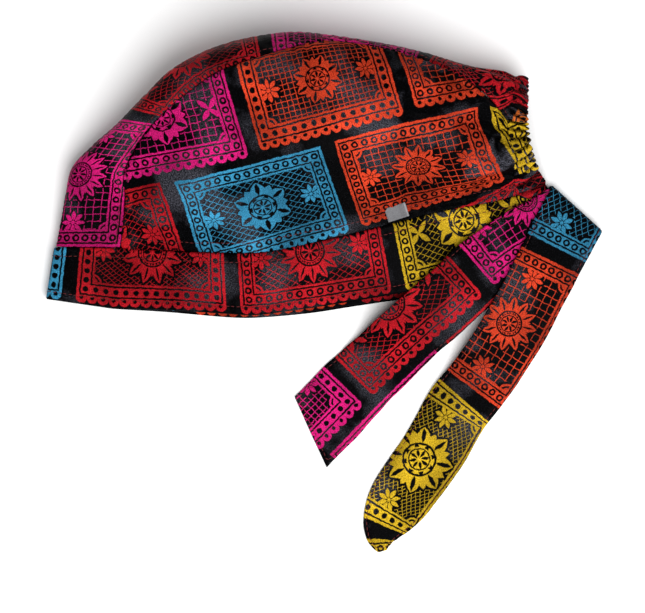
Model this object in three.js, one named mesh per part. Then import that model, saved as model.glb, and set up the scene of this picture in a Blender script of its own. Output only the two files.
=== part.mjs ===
import * as THREE from 'three';

// Scrub cap lying on its right side on a flat surface, in millimetres. +Z is up from the surface,
// +X runs from the brow to the back of the cap and +Y from the mouth to the crown.

// Cloth walls
const CLOTH_WALL = 1.2;
const BAND_WALL = 1.8;
const TIE_WALL = 1.6;
const TAB_WALL = 1.0;
const SEAM_GAP = 0.4;
const BAND_SEAM_GAP = 0.8;

// Centre strip: its hidden half, measured from the rim round to the lower seam. It is gathered
// narrower towards the casing. The upper half follows the seam in the table of stations.
const HALF_STRIP = 34;
const HALF_STRIP_AT_CASING = 25;
const STRIP_TAPER_FROM = 10;

// Shoulder of the crown: a superellipse of this power from the rim to the top of the section
const SHOULDER_POWER = 2.8;
const FAR_SHOULDER_REACH = 0.9;

// Fall from the top of a section to the band: level at its start, and steeper with a higher number
const FALL_STEEPNESS = 2.2;

// Where the crown's cloths begin, and how much their stations crowd towards the casing
const PANEL_CORNER = 0.35;
const UPPER_PANEL_CORNER = 0.2;
const STRIP_CORNER = 0.03;
const STATION_CROWDING = 1.2;

// Cloth left between the lower seam of the strip and the band, where the strip is wide
const LEAST_FAR_PANEL = 2;

// The most that a slanting seam widens its gap is to 1 over this
const LEAST_CROSSING = 0.35;

// Elastic casing and the puckers that its gathers draw in the crown
const CASING_THICKNESS = 3.0;
const CASING_EDGE_THICKNESS = 1.6;
const CASING_RUFFLES = 30;
const CASING_RUFFLE_HEIGHT = 0.9;
const PUCKER_PITCH = 7.5;
const PUCKER_HEIGHT = 1.1;
const PUCKER_REACH = 1.3;

// Side tab, above the seam between the left panel and the band
const TAB = { x: 54, y: 54.6, length: 12, height: 8, turn: 0.31, rise: 2.0 };

// Crown stations from the brow (0) to the casing (16). Rim is the outline of the cap as it lies,
// seam the upper seam of the centre strip, bandX and farX where the section meets the band's
// upper and lower layers, rimZ and topZ heights, and peak where along the section its top lies.
const STATIONS = table(
  ['rimX', 'rimY', 'seamX', 'seamY', 'bandX', 'farX', 'rimZ', 'topZ', 'peak'],
  [
    [-137.4, 35.3, -101.0, 34.6, -101, -101, 6, 12, 0.99],
    [-134.5, 50.0, -99.0, 50.0, -89, -89, 7, 15, 0.8],
    [-131.3, 65.0, -98.3, 63.0, -79, -79, 8, 19, 0.66],
    [-127.0, 79.5, -98.6, 76.5, -70, -70, 10, 24, 0.6],
    [-115.5, 92.0, -93.0, 89.0, -61, -61, 12, 31, 0.55],
    [-101.9, 104.2, -84.0, 102.0, -52, -52, 15, 39, 0.51],
    [-86.5, 120.0, -71.7, 114.0, -42, -42, 18, 47, 0.48],
    [-72.0, 134.0, -60.0, 123.0, -33, -33, 21, 53, 0.46],
    [-53.8, 144.1, -46.6, 132.2, -22, -22, 24, 59, 0.45],
    [-31.0, 151.2, -28.0, 139.3, -9, -9, 27, 63, 0.44],
    [-5.6, 155.3, -5.0, 146.0, 6, 6, 29, 66, 0.44],
    [16.8, 153.4, 17.0, 149.8, 22, 22, 29, 66, 0.44],
    [45.0, 148.8, 44.0, 146.0, 42, 41, 28, 63, 0.44],
    [70.0, 143.0, 68.0, 139.5, 62, 59, 26, 58, 0.45],
    [93.0, 136.2, 88.0, 130.5, 82, 77, 23, 51, 0.46],
    [109.0, 133.0, 104.0, 119.8, 101, 95, 20, 43, 0.48],
    [121.0, 130.3, 115.8, 105.5, 122, 113.6, 17, 34, 0.5],
  ],
);

// Upper edge of the brow band: y and z of its upper layer, farY of the layer on the surface
const BAND_TOP = table(
  ['x', 'y', 'z', 'farY'],
  [
    [-101.0, 34.6, 12.0, 34.6],
    [-75.0, 33.0, 17.0, 33.0],
    [-50.0, 32.0, 22.5, 32.0],
    [-23.0, 31.8, 27.5, 31.8],
    [0.0, 35.9, 30.5, 35.5],
    [21.3, 40.5, 31.0, 39.5],
    [49.3, 47.6, 26.5, 45.0],
    [80.6, 55.6, 16.0, 49.0],
    [107.5, 60.6, 8.0, 53.0],
    [122.6, 64.4, 4.8, 57.0],
    [139.4, 69.4, 3.4, 62.0],
  ],
);

// Lower edge of the brow band, which is the rim of the mouth
const BAND_BOTTOM = table(
  ['x', 'y', 'z', 'farY'],
  [
    [-105.0, 1.0, 10.0, 0.6],
    [-75.0, 0.0, 14.0, -1.2],
    [-39.8, -2.2, 19.5, -4.2],
    [-24.6, -2.8, 21.5, -4.4],
    [5.6, 1.1, 24.5, -1.8],
    [29.0, 4.8, 24.5, 1.8],
    [58.2, 9.9, 17.5, 6.2],
    [80.0, 14.8, 11.0, 9.6],
    [100.0, 20.0, 7.4, 13.2],
    [126.9, 26.4, 4.4, 20.0],
    [146.0, 31.0, 3.4, 25.0],
  ],
);
const BROW_FOLD = { topX: -137.4, topY: 35.3, bottomX: -142, bottomY: 6, z: 6, farReach: 6 };
const NEAR_BAND_END = { topX: 132.6, bottomX: 145.4 };
const FAR_BAND_END = { topX: 114.3, bottomX: 126.9 };

// Back edge of the casing. At runs down from the rim to the band.
const CASING_BACK = table(
  ['at', 'x', 'y', 'farX', 'farY', 'z'],
  [
    [0.0, 127.9, 130.0, 127.9, 130.0, 17],
    [0.25, 127.3, 113.0, 126.5, 110.0, 30],
    [0.5, 127.8, 98.0, 126.5, 94.0, 31.5],
    [0.75, 131.6, 84.0, 128.5, 78.0, 21],
    [1.0, 138.6, 70.2, 131.0, 66.0, 5],
  ],
);

// Ties. Each comes in on its lower layer, turns over the fold and goes out on the layer above.
// Out rows: centre line, height, half width, and how much the cloth leans across its width. The
// cloth ends at the last row, less the trim, along a line that slants by endSlant.
const LEFT_TIE = {
  halfWidth: 18.3,
  fold: { x: 146.2, y: 50.9, direction: -64.9, radius: 1.35 },
  lowerZ: 3.4,
  start: { centre: -7.0, turn: 0 },
  endSlant: -0.39,
  trim: 14.4,
  steps: 38,
  out: table(
    ['x', 'y', 'z', 'half', 'lean'],
    [
      [146.2, 50.9, 6.1, 18.3, 0],
      [136.8, 45.3, 7.4, 18.3, 0],
      [122.0, 37.2, 9.6, 18.3, -0.05],
      [108.5, 28.0, 12.2, 18.4, -0.1],
      [96.0, 17.6, 14.8, 18.5, -0.14],
      [82.0, 4.6, 16.2, 18.4, -0.2],
      [66.6, -8.8, 13.4, 18.6, -0.2],
      [48.6, -26.0, 4.4, 19.0, -0.05],
      [36.0, -38.2, 0.8, 19.5, 0],
      [20.0, -54.4, 0.8, 20.2, 0],
      [5.8, -68.8, 0.8, 20.4, 0],
      [-4.2, -79.2, 0.8, 20.4, 0],
    ],
  ),
};
const RIGHT_TIE = {
  halfWidth: 18.5,
  fold: { x: 153.6, y: 53.3, direction: -42.2, radius: 3.75 },
  lowerZ: 0.8,
  start: { centre: -34.5, turn: -15 },
  endSlant: 0,
  trim: 0,
  steps: 52,
  out: table(
    ['x', 'y', 'z', 'half', 'lean'],
    [
      [153.6, 53.3, 8.3, 18.5, 0],
      [148.7, 44.6, 9.4, 18.5, -0.02],
      [136.6, 20.8, 12.2, 17.8, -0.08],
      [121.8, -7.0, 12.6, 18.0, -0.14],
      [106.8, -31.2, 7.2, 18.0, -0.05],
      [97.6, -43.8, 3.8, 18.2, 0],
      [88.1, -55.8, 1.6, 18.4, 0],
      [75.4, -78.2, 0.8, 18.5, 0],
      [59.2, -101.2, 0.8, 18.0, 0],
      [51.8, -112.2, 0.8, 16.4, 0],
      [47.0, -121.5, 0.8, 12.8, 0],
      [45.3, -128.3, 0.8, 9.2, 0],
      [45.5, -133.0, 0.8, 5.8, 0],
      [46.4, -136.6, 0.8, 2.4, 0],
    ],
  ),
};

// Soft folds pressed into the upper side: a ridge (height above 0) or a dent along a line
const SOFT_FOLDS = table(
  ['fromX', 'fromY', 'toX', 'toY', 'width', 'height'],
  [
    [119, 86, 84, 76, 5.0, 2.6],
    [117, 97, 90, 101, 4.5, -2.2],
    [120, 78, 92, 66, 4.5, -2.0],
    [104, 120, 62, 112, 6.0, 1.6],
    [-99, 70, -122, 66, 7.0, -2.0],
    [-97, 60, -72, 40, 7.0, 1.6],
    [-88, 96, -52, 74, 9.0, 1.5],
    [-20, 36, 22, 66, 9.0, -1.6],
  ],
);

const LAST_STATION = STATIONS.length - 1;
const FLOOR_CLOTH_Z = CLOTH_WALL / 2;
const FLOOR_BAND_Z = BAND_WALL / 2;

// Tables and smooth values from them

function table(columns, rows) {
  return rows.map((row, index) => {
    const entry = { index };
    columns.forEach((column, place) => {
      entry[column] = row[place];
    });
    return entry;
  });
}

function slopeAt(rows, by, column, k) {
  const before = rows[Math.max(k - 1, 0)];
  const after = rows[Math.min(k + 1, rows.length - 1)];
  return (after[column] - before[column]) / (after[by] - before[by]);
}

// Cubic curve through a table's rows, held at its end values
function valueAt(rows, by, column, at) {
  let k = 0;
  while (k < rows.length - 2 && at > rows[k + 1][by]) k += 1;
  const [a, b] = [rows[k], rows[k + 1]];
  const span = b[by] - a[by];
  const t = THREE.MathUtils.clamp((at - a[by]) / span, 0, 1);
  const rise = slopeAt(rows, by, column, k) * span;
  const fall = slopeAt(rows, by, column, k + 1) * span;
  const t2 = t * t;
  const t3 = t2 * t;
  return (2 * t3 - 3 * t2 + 1) * a[column] + (t3 - 2 * t2 + t) * rise
    + (3 * t2 - 2 * t3) * b[column] + (t3 - t2) * fall;
}

function evenly(from, to, count) {
  return Array.from({ length: count + 1 }, (_, k) => from + ((to - from) * k) / count);
}

// A line of points that is read by the distance along it
function measured(points) {
  const distances = [0];
  for (let k = 1; k < points.length; k += 1) {
    distances.push(distances[k - 1] + points[k].distanceTo(points[k - 1]));
  }
  const length = distances[distances.length - 1];
  const at = (distance) => {
    let k = 0;
    while (k < points.length - 2 && distance > distances[k + 1]) k += 1;
    const span = Math.max(distances[k + 1] - distances[k], 1e-9);
    const t = THREE.MathUtils.clamp((distance - distances[k]) / span, 0, 1);
    return points[k].clone().lerp(points[k + 1], t);
  };
  return { length, at };
}

// Cloth walls: a grid of points on the middle of the cloth, given its thickness both ways

function gridNormals(grid) {
  const last = [grid.length - 1, grid[0].length - 1];
  return grid.map((row, i) => row.map((_, j) => {
    const alongRows = grid[Math.min(i + 1, last[0])][j].clone().sub(grid[Math.max(i - 1, 0)][j]);
    const acrossRow = grid[i][Math.min(j + 1, last[1])].clone().sub(grid[i][Math.max(j - 1, 0)]);
    return alongRows.cross(acrossRow).normalize();
  }));
}

function lifted(grid, lift) {
  const normals = gridNormals(grid);
  return grid.map((row, i) => row.map((point, j) => (
    point.clone().addScaledVector(normals[i][j], lift(i, j, point))
  )));
}

function closedGeometry(points, faces) {
  let volume = 0;
  for (const [a, b, c] of faces) {
    volume += points[a].dot(points[b].clone().cross(points[c])) / 6;
  }
  const geometry = new THREE.BufferGeometry();
  geometry.setAttribute('position', new THREE.Float32BufferAttribute(
    points.flatMap((point) => point.toArray()),
    3,
  ));
  geometry.setIndex(faces.flatMap(([a, b, c]) => (volume > 0 ? [a, b, c] : [a, c, b])));
  geometry.computeVertexNormals();
  return geometry;
}

function clothShell(grid, wall) {
  const normals = gridNormals(grid);
  const [rows, columns] = [grid.length, grid[0].length];
  const points = [];
  for (const side of [0.5, -0.5]) {
    grid.forEach((row, i) => row.forEach((point, j) => {
      points.push(point.clone().addScaledVector(normals[i][j], side * wall));
    }));
  }
  const outer = (i, j) => i * columns + j;
  const inner = (i, j) => rows * columns + i * columns + j;
  const faces = [];
  const quad = (a, b, c, d) => faces.push([a, b, c], [a, c, d]);
  for (let i = 0; i < rows - 1; i += 1) {
    for (let j = 0; j < columns - 1; j += 1) {
      quad(outer(i, j), outer(i + 1, j), outer(i + 1, j + 1), outer(i, j + 1));
      quad(inner(i, j), inner(i, j + 1), inner(i + 1, j + 1), inner(i + 1, j));
    }
    quad(outer(i, 0), inner(i, 0), inner(i + 1, 0), outer(i + 1, 0));
    const end = columns - 1;
    quad(outer(i, end), outer(i + 1, end), inner(i + 1, end), inner(i, end));
  }
  for (let j = 0; j < columns - 1; j += 1) {
    quad(outer(0, j), outer(0, j + 1), inner(0, j + 1), inner(0, j));
    const end = rows - 1;
    quad(outer(end, j), inner(end, j), inner(end, j + 1), outer(end, j + 1));
  }
  return closedGeometry(points, faces);
}

// Sections of the crown

function superellipse(u) {
  return (1 - (1 - u) ** SHOULDER_POWER) ** (1 / SHOULDER_POWER);
}

// Distances from a rim whose wall stands upright there, close together at first
function shoulderSteps(reach, count) {
  return evenly(0, 1, count).map((t) => reach * t ** SHOULDER_POWER);
}

function bandTopPoint(x, far) {
  const y = valueAt(BAND_TOP, 'x', far ? 'farY' : 'y', x);
  return new THREE.Vector2(x, y);
}

// One side of a section, from the rim over the seam to the band
function halfSection(s, far) {
  const read = (column) => valueAt(STATIONS, 'index', column, s);
  const rim = new THREE.Vector2(read('rimX'), read('rimY'));
  const seam = new THREE.Vector2(read('seamX'), read('seamY'));
  const foot = bandTopPoint(read(far ? 'farX' : 'bandX'), far);
  const toSeam = rim.distanceTo(seam);
  const toFoot = toSeam + Math.max(seam.distanceTo(foot), 1e-3);
  const [rimZ, topZ, peak] = [read('rimZ'), read('topZ'), read('peak') * toFoot];
  const footZ = far ? FLOOR_CLOTH_Z : valueAt(BAND_TOP, 'x', 'z', foot.x);
  const reach = far ? FAR_SHOULDER_REACH * rimZ : peak;
  const height = (run) => {
    if (far) return rimZ - (rimZ - FLOOR_CLOTH_Z) * superellipse(Math.min(run / reach, 1));
    if (run < peak) return rimZ + (topZ - rimZ) * superellipse(run / peak);
    const t = (run - peak) / (toFoot - peak);
    return topZ + (footZ - topZ) * t * t * (FALL_STEEPNESS - (FALL_STEEPNESS - 1) * t);
  };
  const plan = (run) => (run < toSeam
    ? rim.clone().lerp(seam, run / toSeam)
    : seam.clone().lerp(foot, Math.min((run - toSeam) / (toFoot - toSeam), 1)));
  const runs = shoulderSteps(reach, 24).concat(evenly(reach, toFoot, 24).slice(1), [toSeam]);
  runs.sort((a, b) => a - b);
  const points = runs.map((run) => {
    const { x, y } = plan(run);
    return new THREE.Vector3(x, y, height(run));
  });
  const line = measured(points);
  const seamAt = measured(points.slice(0, runs.indexOf(toSeam) + 1)).length;
  // The panel leaves the seam at this angle, so its gap is measured along a longer way
  const nextSeam = (column) => valueAt(STATIONS, 'index', column, s + 0.1)
    - valueAt(STATIONS, 'index', column, s - 0.1);
  const alongSeam = new THREE.Vector2(nextSeam('seamX'), nextSeam('seamY')).normalize();
  const toBand = foot.clone().sub(seam).normalize();
  const crossing = Math.max(Math.abs(toBand.cross(alongSeam)), LEAST_CROSSING);
  return { ...line, seamAt, panelFrom: seamAt + SEAM_GAP / 2 / crossing };
}

function farSeamAt(s) {
  const t = THREE.MathUtils.smoothstep(s, STRIP_TAPER_FROM, LAST_STATION);
  return THREE.MathUtils.lerp(HALF_STRIP, HALF_STRIP_AT_CASING, t);
}

// Puckers run in from the casing and fade within PUCKER_REACH stations
function puckerLift(s, around) {
  const fade = Math.exp(-(LAST_STATION - s) / PUCKER_REACH);
  return PUCKER_HEIGHT * fade * Math.sin((2 * Math.PI * around) / PUCKER_PITCH);
}

function foldLift(point) {
  let lift = 0;
  for (const fold of SOFT_FOLDS) {
    const from = new THREE.Vector2(fold.fromX, fold.fromY);
    const run = new THREE.Vector2(fold.toX, fold.toY).sub(from);
    const reach = run.length();
    const offset = new THREE.Vector2(point.x, point.y).sub(from);
    const along = THREE.MathUtils.clamp(offset.dot(run) / (reach * reach), 0, 1);
    const away = offset.addScaledVector(run, -along).length() / fold.width;
    const swell = Math.sin(Math.PI * (0.15 + 0.85 * along)) * Math.exp(-away * away);
    lift += fold.height * swell;
  }
  return lift;
}

// Stations of every crown piece, closer together towards the casing
const CROWN_STEPS = evenly(0, 1, 30)
  .map((t) => LAST_STATION * (1 - (1 - t) ** STATION_CROWDING));

function leftSidePanel() {
  const stations = [UPPER_PANEL_CORNER].concat(CROWN_STEPS.slice(1));
  const columns = 26;
  const lengths = [];
  const grid = stations.map((s) => {
    const near = halfSection(s, false);
    const [from, to] = [near.panelFrom, near.length - BAND_SEAM_GAP];
    const runs = evenly(from, to, columns);
    lengths.push(runs);
    return runs.map((run) => near.at(run));
  });
  // This grid faces inwards, so a ridge is a lift below 0
  const seamFade = 3;
  const panel = lifted(grid, (i, j, point) => {
    const edge = Math.min(1, Math.min(j, columns - j) / seamFade);
    return -edge * (puckerLift(stations[i], lengths[i][j]) + foldLift(point));
  });
  return clothShell(panel, CLOTH_WALL);
}

function rightSidePanel() {
  const grid = [PANEL_CORNER].concat(CROWN_STEPS.slice(1)).map((s) => {
    const far = halfSection(s, true);
    const from = Math.min(farSeamAt(s) + SEAM_GAP / 2, far.length - LEAST_FAR_PANEL);
    return evenly(from, far.length - SEAM_GAP, 8).map((run) => far.at(run));
  });
  return clothShell(grid, CLOTH_WALL);
}

function centreStrip() {
  const stations = [STRIP_CORNER].concat(CROWN_STEPS.slice(1));
  const halfColumns = 7;
  const arounds = [];
  const grid = stations.map((s) => {
    const near = halfSection(s, false);
    const far = halfSection(s, true);
    const nearEnd = near.seamAt - SEAM_GAP / 2;
    const farEnd = Math.min(farSeamAt(s) - SEAM_GAP / 2, far.length - LEAST_FAR_PANEL - SEAM_GAP);
    const upper = evenly(nearEnd, 0, halfColumns);
    const lower = evenly(0, farEnd, halfColumns).slice(1);
    arounds.push(upper.concat(lower.map((run) => -run)));
    return upper.map((run) => near.at(run)).concat(lower.map((run) => far.at(run)));
  });
  // Puckers and folds fade in from the upper seam, and are gone soon after the rim
  const seamFade = 2;
  const goneAt = 1.2 * halfColumns;
  const strip = lifted(grid, (i, j, point) => {
    const fade = Math.min(1, j / seamFade) * Math.max(0, 1 - j / goneAt);
    return fade * (puckerLift(stations[i], arounds[i][j]) + foldLift(point));
  });
  return clothShell(strip, CLOTH_WALL);
}

// Brow band: a strip between its top and bottom edges, from its left end round the brow fold to
// its right end

function bandEdge(rows, foldX, foldY, endX, far) {
  const first = rows[0];
  const restZ = far ? FLOOR_BAND_Z : first.z;
  const reach = far ? BROW_FOLD.farReach : first.x - foldX;
  const firstY = far ? first.farY : first.y;
  const points = shoulderSteps(reach, 16).map((run) => {
    const y = THREE.MathUtils.lerp(foldY, firstY, run / (first.x - foldX));
    const z = BROW_FOLD.z + (restZ - BROW_FOLD.z) * superellipse(run / reach);
    return new THREE.Vector3(foldX + run, y, z);
  });
  const from = foldX + reach;
  for (const x of evenly(from, endX, 60).slice(1)) {
    const t = Math.min((x - foldX) / (first.x - foldX), 1);
    const y = t < 1
      ? THREE.MathUtils.lerp(foldY, firstY, t)
      : valueAt(rows, 'x', far ? 'farY' : 'y', x);
    points.push(new THREE.Vector3(x, y, far ? FLOOR_BAND_Z : valueAt(rows, 'x', 'z', x)));
  }
  return measured(points);
}

function browBand() {
  const halves = [false, true].map((far) => {
    const end = far ? FAR_BAND_END : NEAR_BAND_END;
    const top = bandEdge(BAND_TOP, BROW_FOLD.topX, BROW_FOLD.topY, end.topX, far);
    const bottom = bandEdge(BAND_BOTTOM, BROW_FOLD.bottomX, BROW_FOLD.bottomY, end.bottomX, far);
    return { top, bottom };
  });
  // Steps lie close together round the fold
  const nearFold = 0.14;
  const crowding = 1.6;
  const steps = evenly(0, 1, 8).map((t) => nearFold * t ** crowding)
    .concat(evenly(nearFold, 1, 22).slice(1));
  const column = (half, t) => {
    const from = half.top.at(half.top.length * t);
    const to = half.bottom.at(half.bottom.length * t);
    return evenly(0, 1, 4).map((v) => from.clone().lerp(to, v));
  };
  const grid = steps.slice(1).reverse().map((t) => column(halves[0], t))
    .concat(steps.map((t) => column(halves[1], t)));
  return clothShell(grid, BAND_WALL);
}

// Back casing: a gathered tube round the back opening, from the band's left end over the rim to
// its right end

function casingEdges(t, far) {
  const section = halfSection(LAST_STATION, far);
  const front = section.at(section.length * t);
  const read = (column) => valueAt(CASING_BACK, 'at', column, t);
  const back = new THREE.Vector3(
    read(far ? 'farX' : 'x'),
    read(far ? 'farY' : 'y'),
    far ? Math.max(front.z, CASING_EDGE_THICKNESS / 2) : read('z'),
  );
  const across = back.clone().sub(front).normalize();
  front.addScaledVector(across, 1.5 * SEAM_GAP);
  front.z = Math.max(front.z, CASING_EDGE_THICKNESS / 2);
  return { front, back };
}

function backCasing() {
  const perHalf = 60;
  const [nearEnd, farEnd] = [0.985, 0.97];
  const steps = evenly(nearEnd, 0, perHalf).map((t) => casingEdges(t, false))
    .concat(evenly(0, farEnd, perHalf).slice(1).map((t) => casingEdges(t, true)));
  const middles = steps.map(({ front, back }) => {
    const middle = front.clone().lerp(back, 0.5);
    middle.z = Math.max(middle.z, CASING_THICKNESS / 2);
    return middle;
  });
  const ring = 6;
  const points = [];
  steps.forEach(({ front, back }, k) => {
    const before = middles[Math.max(k - 1, 0)];
    const after = middles[Math.min(k + 1, steps.length - 1)];
    const along = after.clone().sub(before).normalize();
    const across = back.clone().sub(front).normalize();
    const out = across.clone().cross(along).normalize();
    const wave = Math.sin((Math.PI * CASING_RUFFLES * k) / (steps.length - 1)) ** 2 - 0.5;
    const lowSide = Math.min(1, Math.max(0, middles[k].z - CASING_THICKNESS) / 4);
    const shift = 2 * CASING_RUFFLE_HEIGHT * wave * lowSide;
    const corner = (base, share, half) => points.push(
      base.clone().addScaledVector(out, half + shift * share),
    );
    const middle = middles[k];
    corner(front, 0.4, CASING_EDGE_THICKNESS / 2);
    corner(middle, 1, CASING_THICKNESS / 2);
    corner(back, 1.1, CASING_EDGE_THICKNESS / 2);
    corner(back, 1.1, -CASING_EDGE_THICKNESS / 2);
    corner(middle, 1, -CASING_THICKNESS / 2);
    corner(front, 0.4, -CASING_EDGE_THICKNESS / 2);
  });
  const faces = [];
  for (let k = 0; k < steps.length - 1; k += 1) {
    for (let j = 0; j < ring; j += 1) {
      const next = (j + 1) % ring;
      const [a, b] = [k * ring + j, k * ring + next];
      faces.push([a, b, b + ring], [a, b + ring, a + ring]);
    }
  }
  const last = (steps.length - 1) * ring;
  for (let j = 1; j < ring - 1; j += 1) {
    faces.push([0, j + 1, j], [last, last + j, last + j + 1]);
  }
  return closedGeometry(points, faces);
}

// Ties

function direction(degrees) {
  const angle = THREE.MathUtils.degToRad(degrees);
  return new THREE.Vector2(Math.cos(angle), Math.sin(angle));
}

function tieOutline(tie) {
  let along = 0;
  return tie.out.map((row, k) => {
    if (k > 0) along += Math.hypot(row.x - tie.out[k - 1].x, row.y - tie.out[k - 1].y);
    return { ...row, along };
  });
}

// A tie's flat cloth, along and aside of its centre line from the fold, laid out in space
function tieSurface(tie) {
  const rows = tieOutline(tie);
  const foldLine = direction(tie.fold.direction);
  const outward = new THREE.Vector2(-foldLine.y, foldLine.x);
  if (outward.x < 0) outward.negate();
  const foldPoint = new THREE.Vector2(tie.fold.x, tie.fold.y);
  const out = new THREE.Vector2(rows[1].x - rows[0].x, rows[1].y - rows[0].y).normalize();
  const inward = out.clone().addScaledVector(outward, -2 * out.dot(outward));
  const leftOf = (v) => new THREE.Vector2(-v.y, v.x);
  const bend = Math.PI * tie.fold.radius;
  const turn = THREE.MathUtils.degToRad(tie.start.turn ?? 0);
  const laid = (along, aside) => {
    if (along >= 0 || turn === 0) {
      return inward.clone().multiplyScalar(along).addScaledVector(leftOf(inward), aside);
    }
    // Before the fold the cloth comes round in a slow curve
    const radius = Math.abs(tie.start.centre / turn);
    const angle = (along / tie.start.centre) * turn;
    const heading = inward.clone().rotateAround(new THREE.Vector2(), angle);
    const chord = inward.clone().rotateAround(new THREE.Vector2(), angle / 2);
    return chord.multiplyScalar(-2 * radius * Math.sin(Math.abs(angle) / 2))
      .addScaledVector(leftOf(heading), aside);
  };
  // A slanting fold shifts the cloth sideways as it goes round, so it comes in beside the table's line
  const sideways = leftOf(out).multiplyScalar(-bend * outward.dot(leftOf(out)));
  return (along, aside) => {
    const flat = laid(along, aside).add(sideways);
    const past = flat.dot(outward);
    if (past <= 0) {
      return new THREE.Vector3(foldPoint.x + flat.x, foldPoint.y + flat.y, tie.lowerZ);
    }
    if (past <= bend) {
      const angle = past / tie.fold.radius;
      flat.addScaledVector(outward, tie.fold.radius * Math.sin(angle) - past).add(foldPoint);
      return new THREE.Vector3(
        flat.x,
        flat.y,
        tie.lowerZ + tie.fold.radius * (1 - Math.cos(angle)),
      );
    }
    flat.addScaledVector(outward, bend - 2 * past);
    const run = Math.max(flat.dot(out), 0);
    const before = Math.min(flat.dot(out), 0);
    const side = flat.dot(leftOf(out));
    const read = (column, at) => valueAt(rows, 'along', column, at);
    const step = 0.5;
    const ahead = new THREE.Vector2(
      read('x', run + step) - read('x', run - step),
      read('y', run + step) - read('y', run - step),
    ).normalize();
    const left = leftOf(ahead);
    return new THREE.Vector3(
      read('x', run) + left.x * side + out.x * before,
      read('y', run) + left.y * side + out.y * before,
      Math.max(read('z', run) + read('lean', run) * side, TIE_WALL / 2),
    );
  };
}

function tieGeometry(tie) {
  const surface = tieSurface(tie);
  const rows = tieOutline(tie);
  const bend = Math.PI * tie.fold.radius;
  const length = rows[rows.length - 1].along + bend - tie.trim;
  const slack = 6;
  const across = 5;
  const runs = evenly(tie.start.centre, -slack, 3)
    .concat(evenly(-slack, bend + slack, Math.ceil(bend) + 10).slice(1))
    .concat(evenly(bend + slack, length, tie.steps - 14).slice(1));
  const halfWidth = (run) => (run < bend + slack
    ? tie.halfWidth
    : valueAt(rows, 'along', 'half', run - bend));
  const grid = runs.map((run) => evenly(-1, 1, across).map((v) => {
    const aside = v * halfWidth(run);
    const slant = tie.endSlant * THREE.MathUtils.smoothstep(run, bend + slack, length);
    return surface(run + slant * aside, aside);
  }));
  return clothShell(grid, TIE_WALL);
}

// Side tab: a folded bit of tape that stands on the left panel above the band

// Height of the left panel's middle, searched over the stations round the tab
function upperSurfaceZ(x, y) {
  let best = { gap: Infinity, z: 0 };
  for (const s of evenly(8, 15, 140)) {
    const near = halfSection(s, false);
    for (const run of evenly(near.seamAt, near.length, 60)) {
      const point = near.at(run);
      const gap = Math.hypot(point.x - x, point.y - y);
      if (gap < best.gap) best = { gap, z: point.z };
    }
  }
  return best.z;
}

function sideTab() {
  const alongTab = direction(THREE.MathUtils.radToDeg(TAB.turn));
  const upTab = new THREE.Vector2(-alongTab.y, alongTab.x);
  const grid = evenly(-0.5, 0.5, 4).map((u) => evenly(-0.5, 0.5, 3).map((v) => {
    const x = TAB.x + alongTab.x * u * TAB.length + upTab.x * v * TAB.height;
    const y = TAB.y + alongTab.y * u * TAB.length + upTab.y * v * TAB.height;
    return new THREE.Vector3(x, y, upperSurfaceZ(x, y) + TAB.rise + CLOTH_WALL / 2);
  }));
  return clothShell(grid, TAB_WALL);
}

// Assembly

const PRINTED_CLOTH = { color: 0x2a2024, roughness: 0.85, metalness: 0 };
const TAPE = { color: 0x8f9094, roughness: 0.8, metalness: 0 };

function piece(name, geometry, finish) {
  const mesh = new THREE.Mesh(geometry, new THREE.MeshStandardMaterial(finish));
  mesh.name = name;
  return mesh;
}

function scrubCap() {
  const cap = new THREE.Group();
  cap.name = 'scrub_cap';
  cap.add(piece('left_side_panel', leftSidePanel(), PRINTED_CLOTH));
  cap.add(piece('right_side_panel', rightSidePanel(), PRINTED_CLOTH));
  cap.add(piece('centre_strip', centreStrip(), PRINTED_CLOTH));
  cap.add(piece('brow_band', browBand(), PRINTED_CLOTH));
  cap.add(piece('back_casing', backCasing(), PRINTED_CLOTH));
  cap.add(piece('left_tie', tieGeometry(LEFT_TIE), PRINTED_CLOTH));
  cap.add(piece('right_tie', tieGeometry(RIGHT_TIE), PRINTED_CLOTH));
  cap.add(piece('side_tab', sideTab(), TAPE));
  return cap;
}

// The origin is the middle of the footprint, on the surface
function centred(cap) {
  const box = new THREE.Box3().setFromObject(cap);
  const middle = box.getCenter(new THREE.Vector3());
  cap.position.set(-middle.x, -middle.y, -box.min.z);
  return cap;
}

export default centred(scrubCap());
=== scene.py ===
"""A scrub cap lying on its right side: its cloth, print, gathers and stitching.

Tables and cloth grids are in millimetres, as the cap was measured, and meshes are in metres. X runs
from the brow to the back of the cap, Y from the mouth to the crown, and Z up from the surface.
"""

import math

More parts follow.
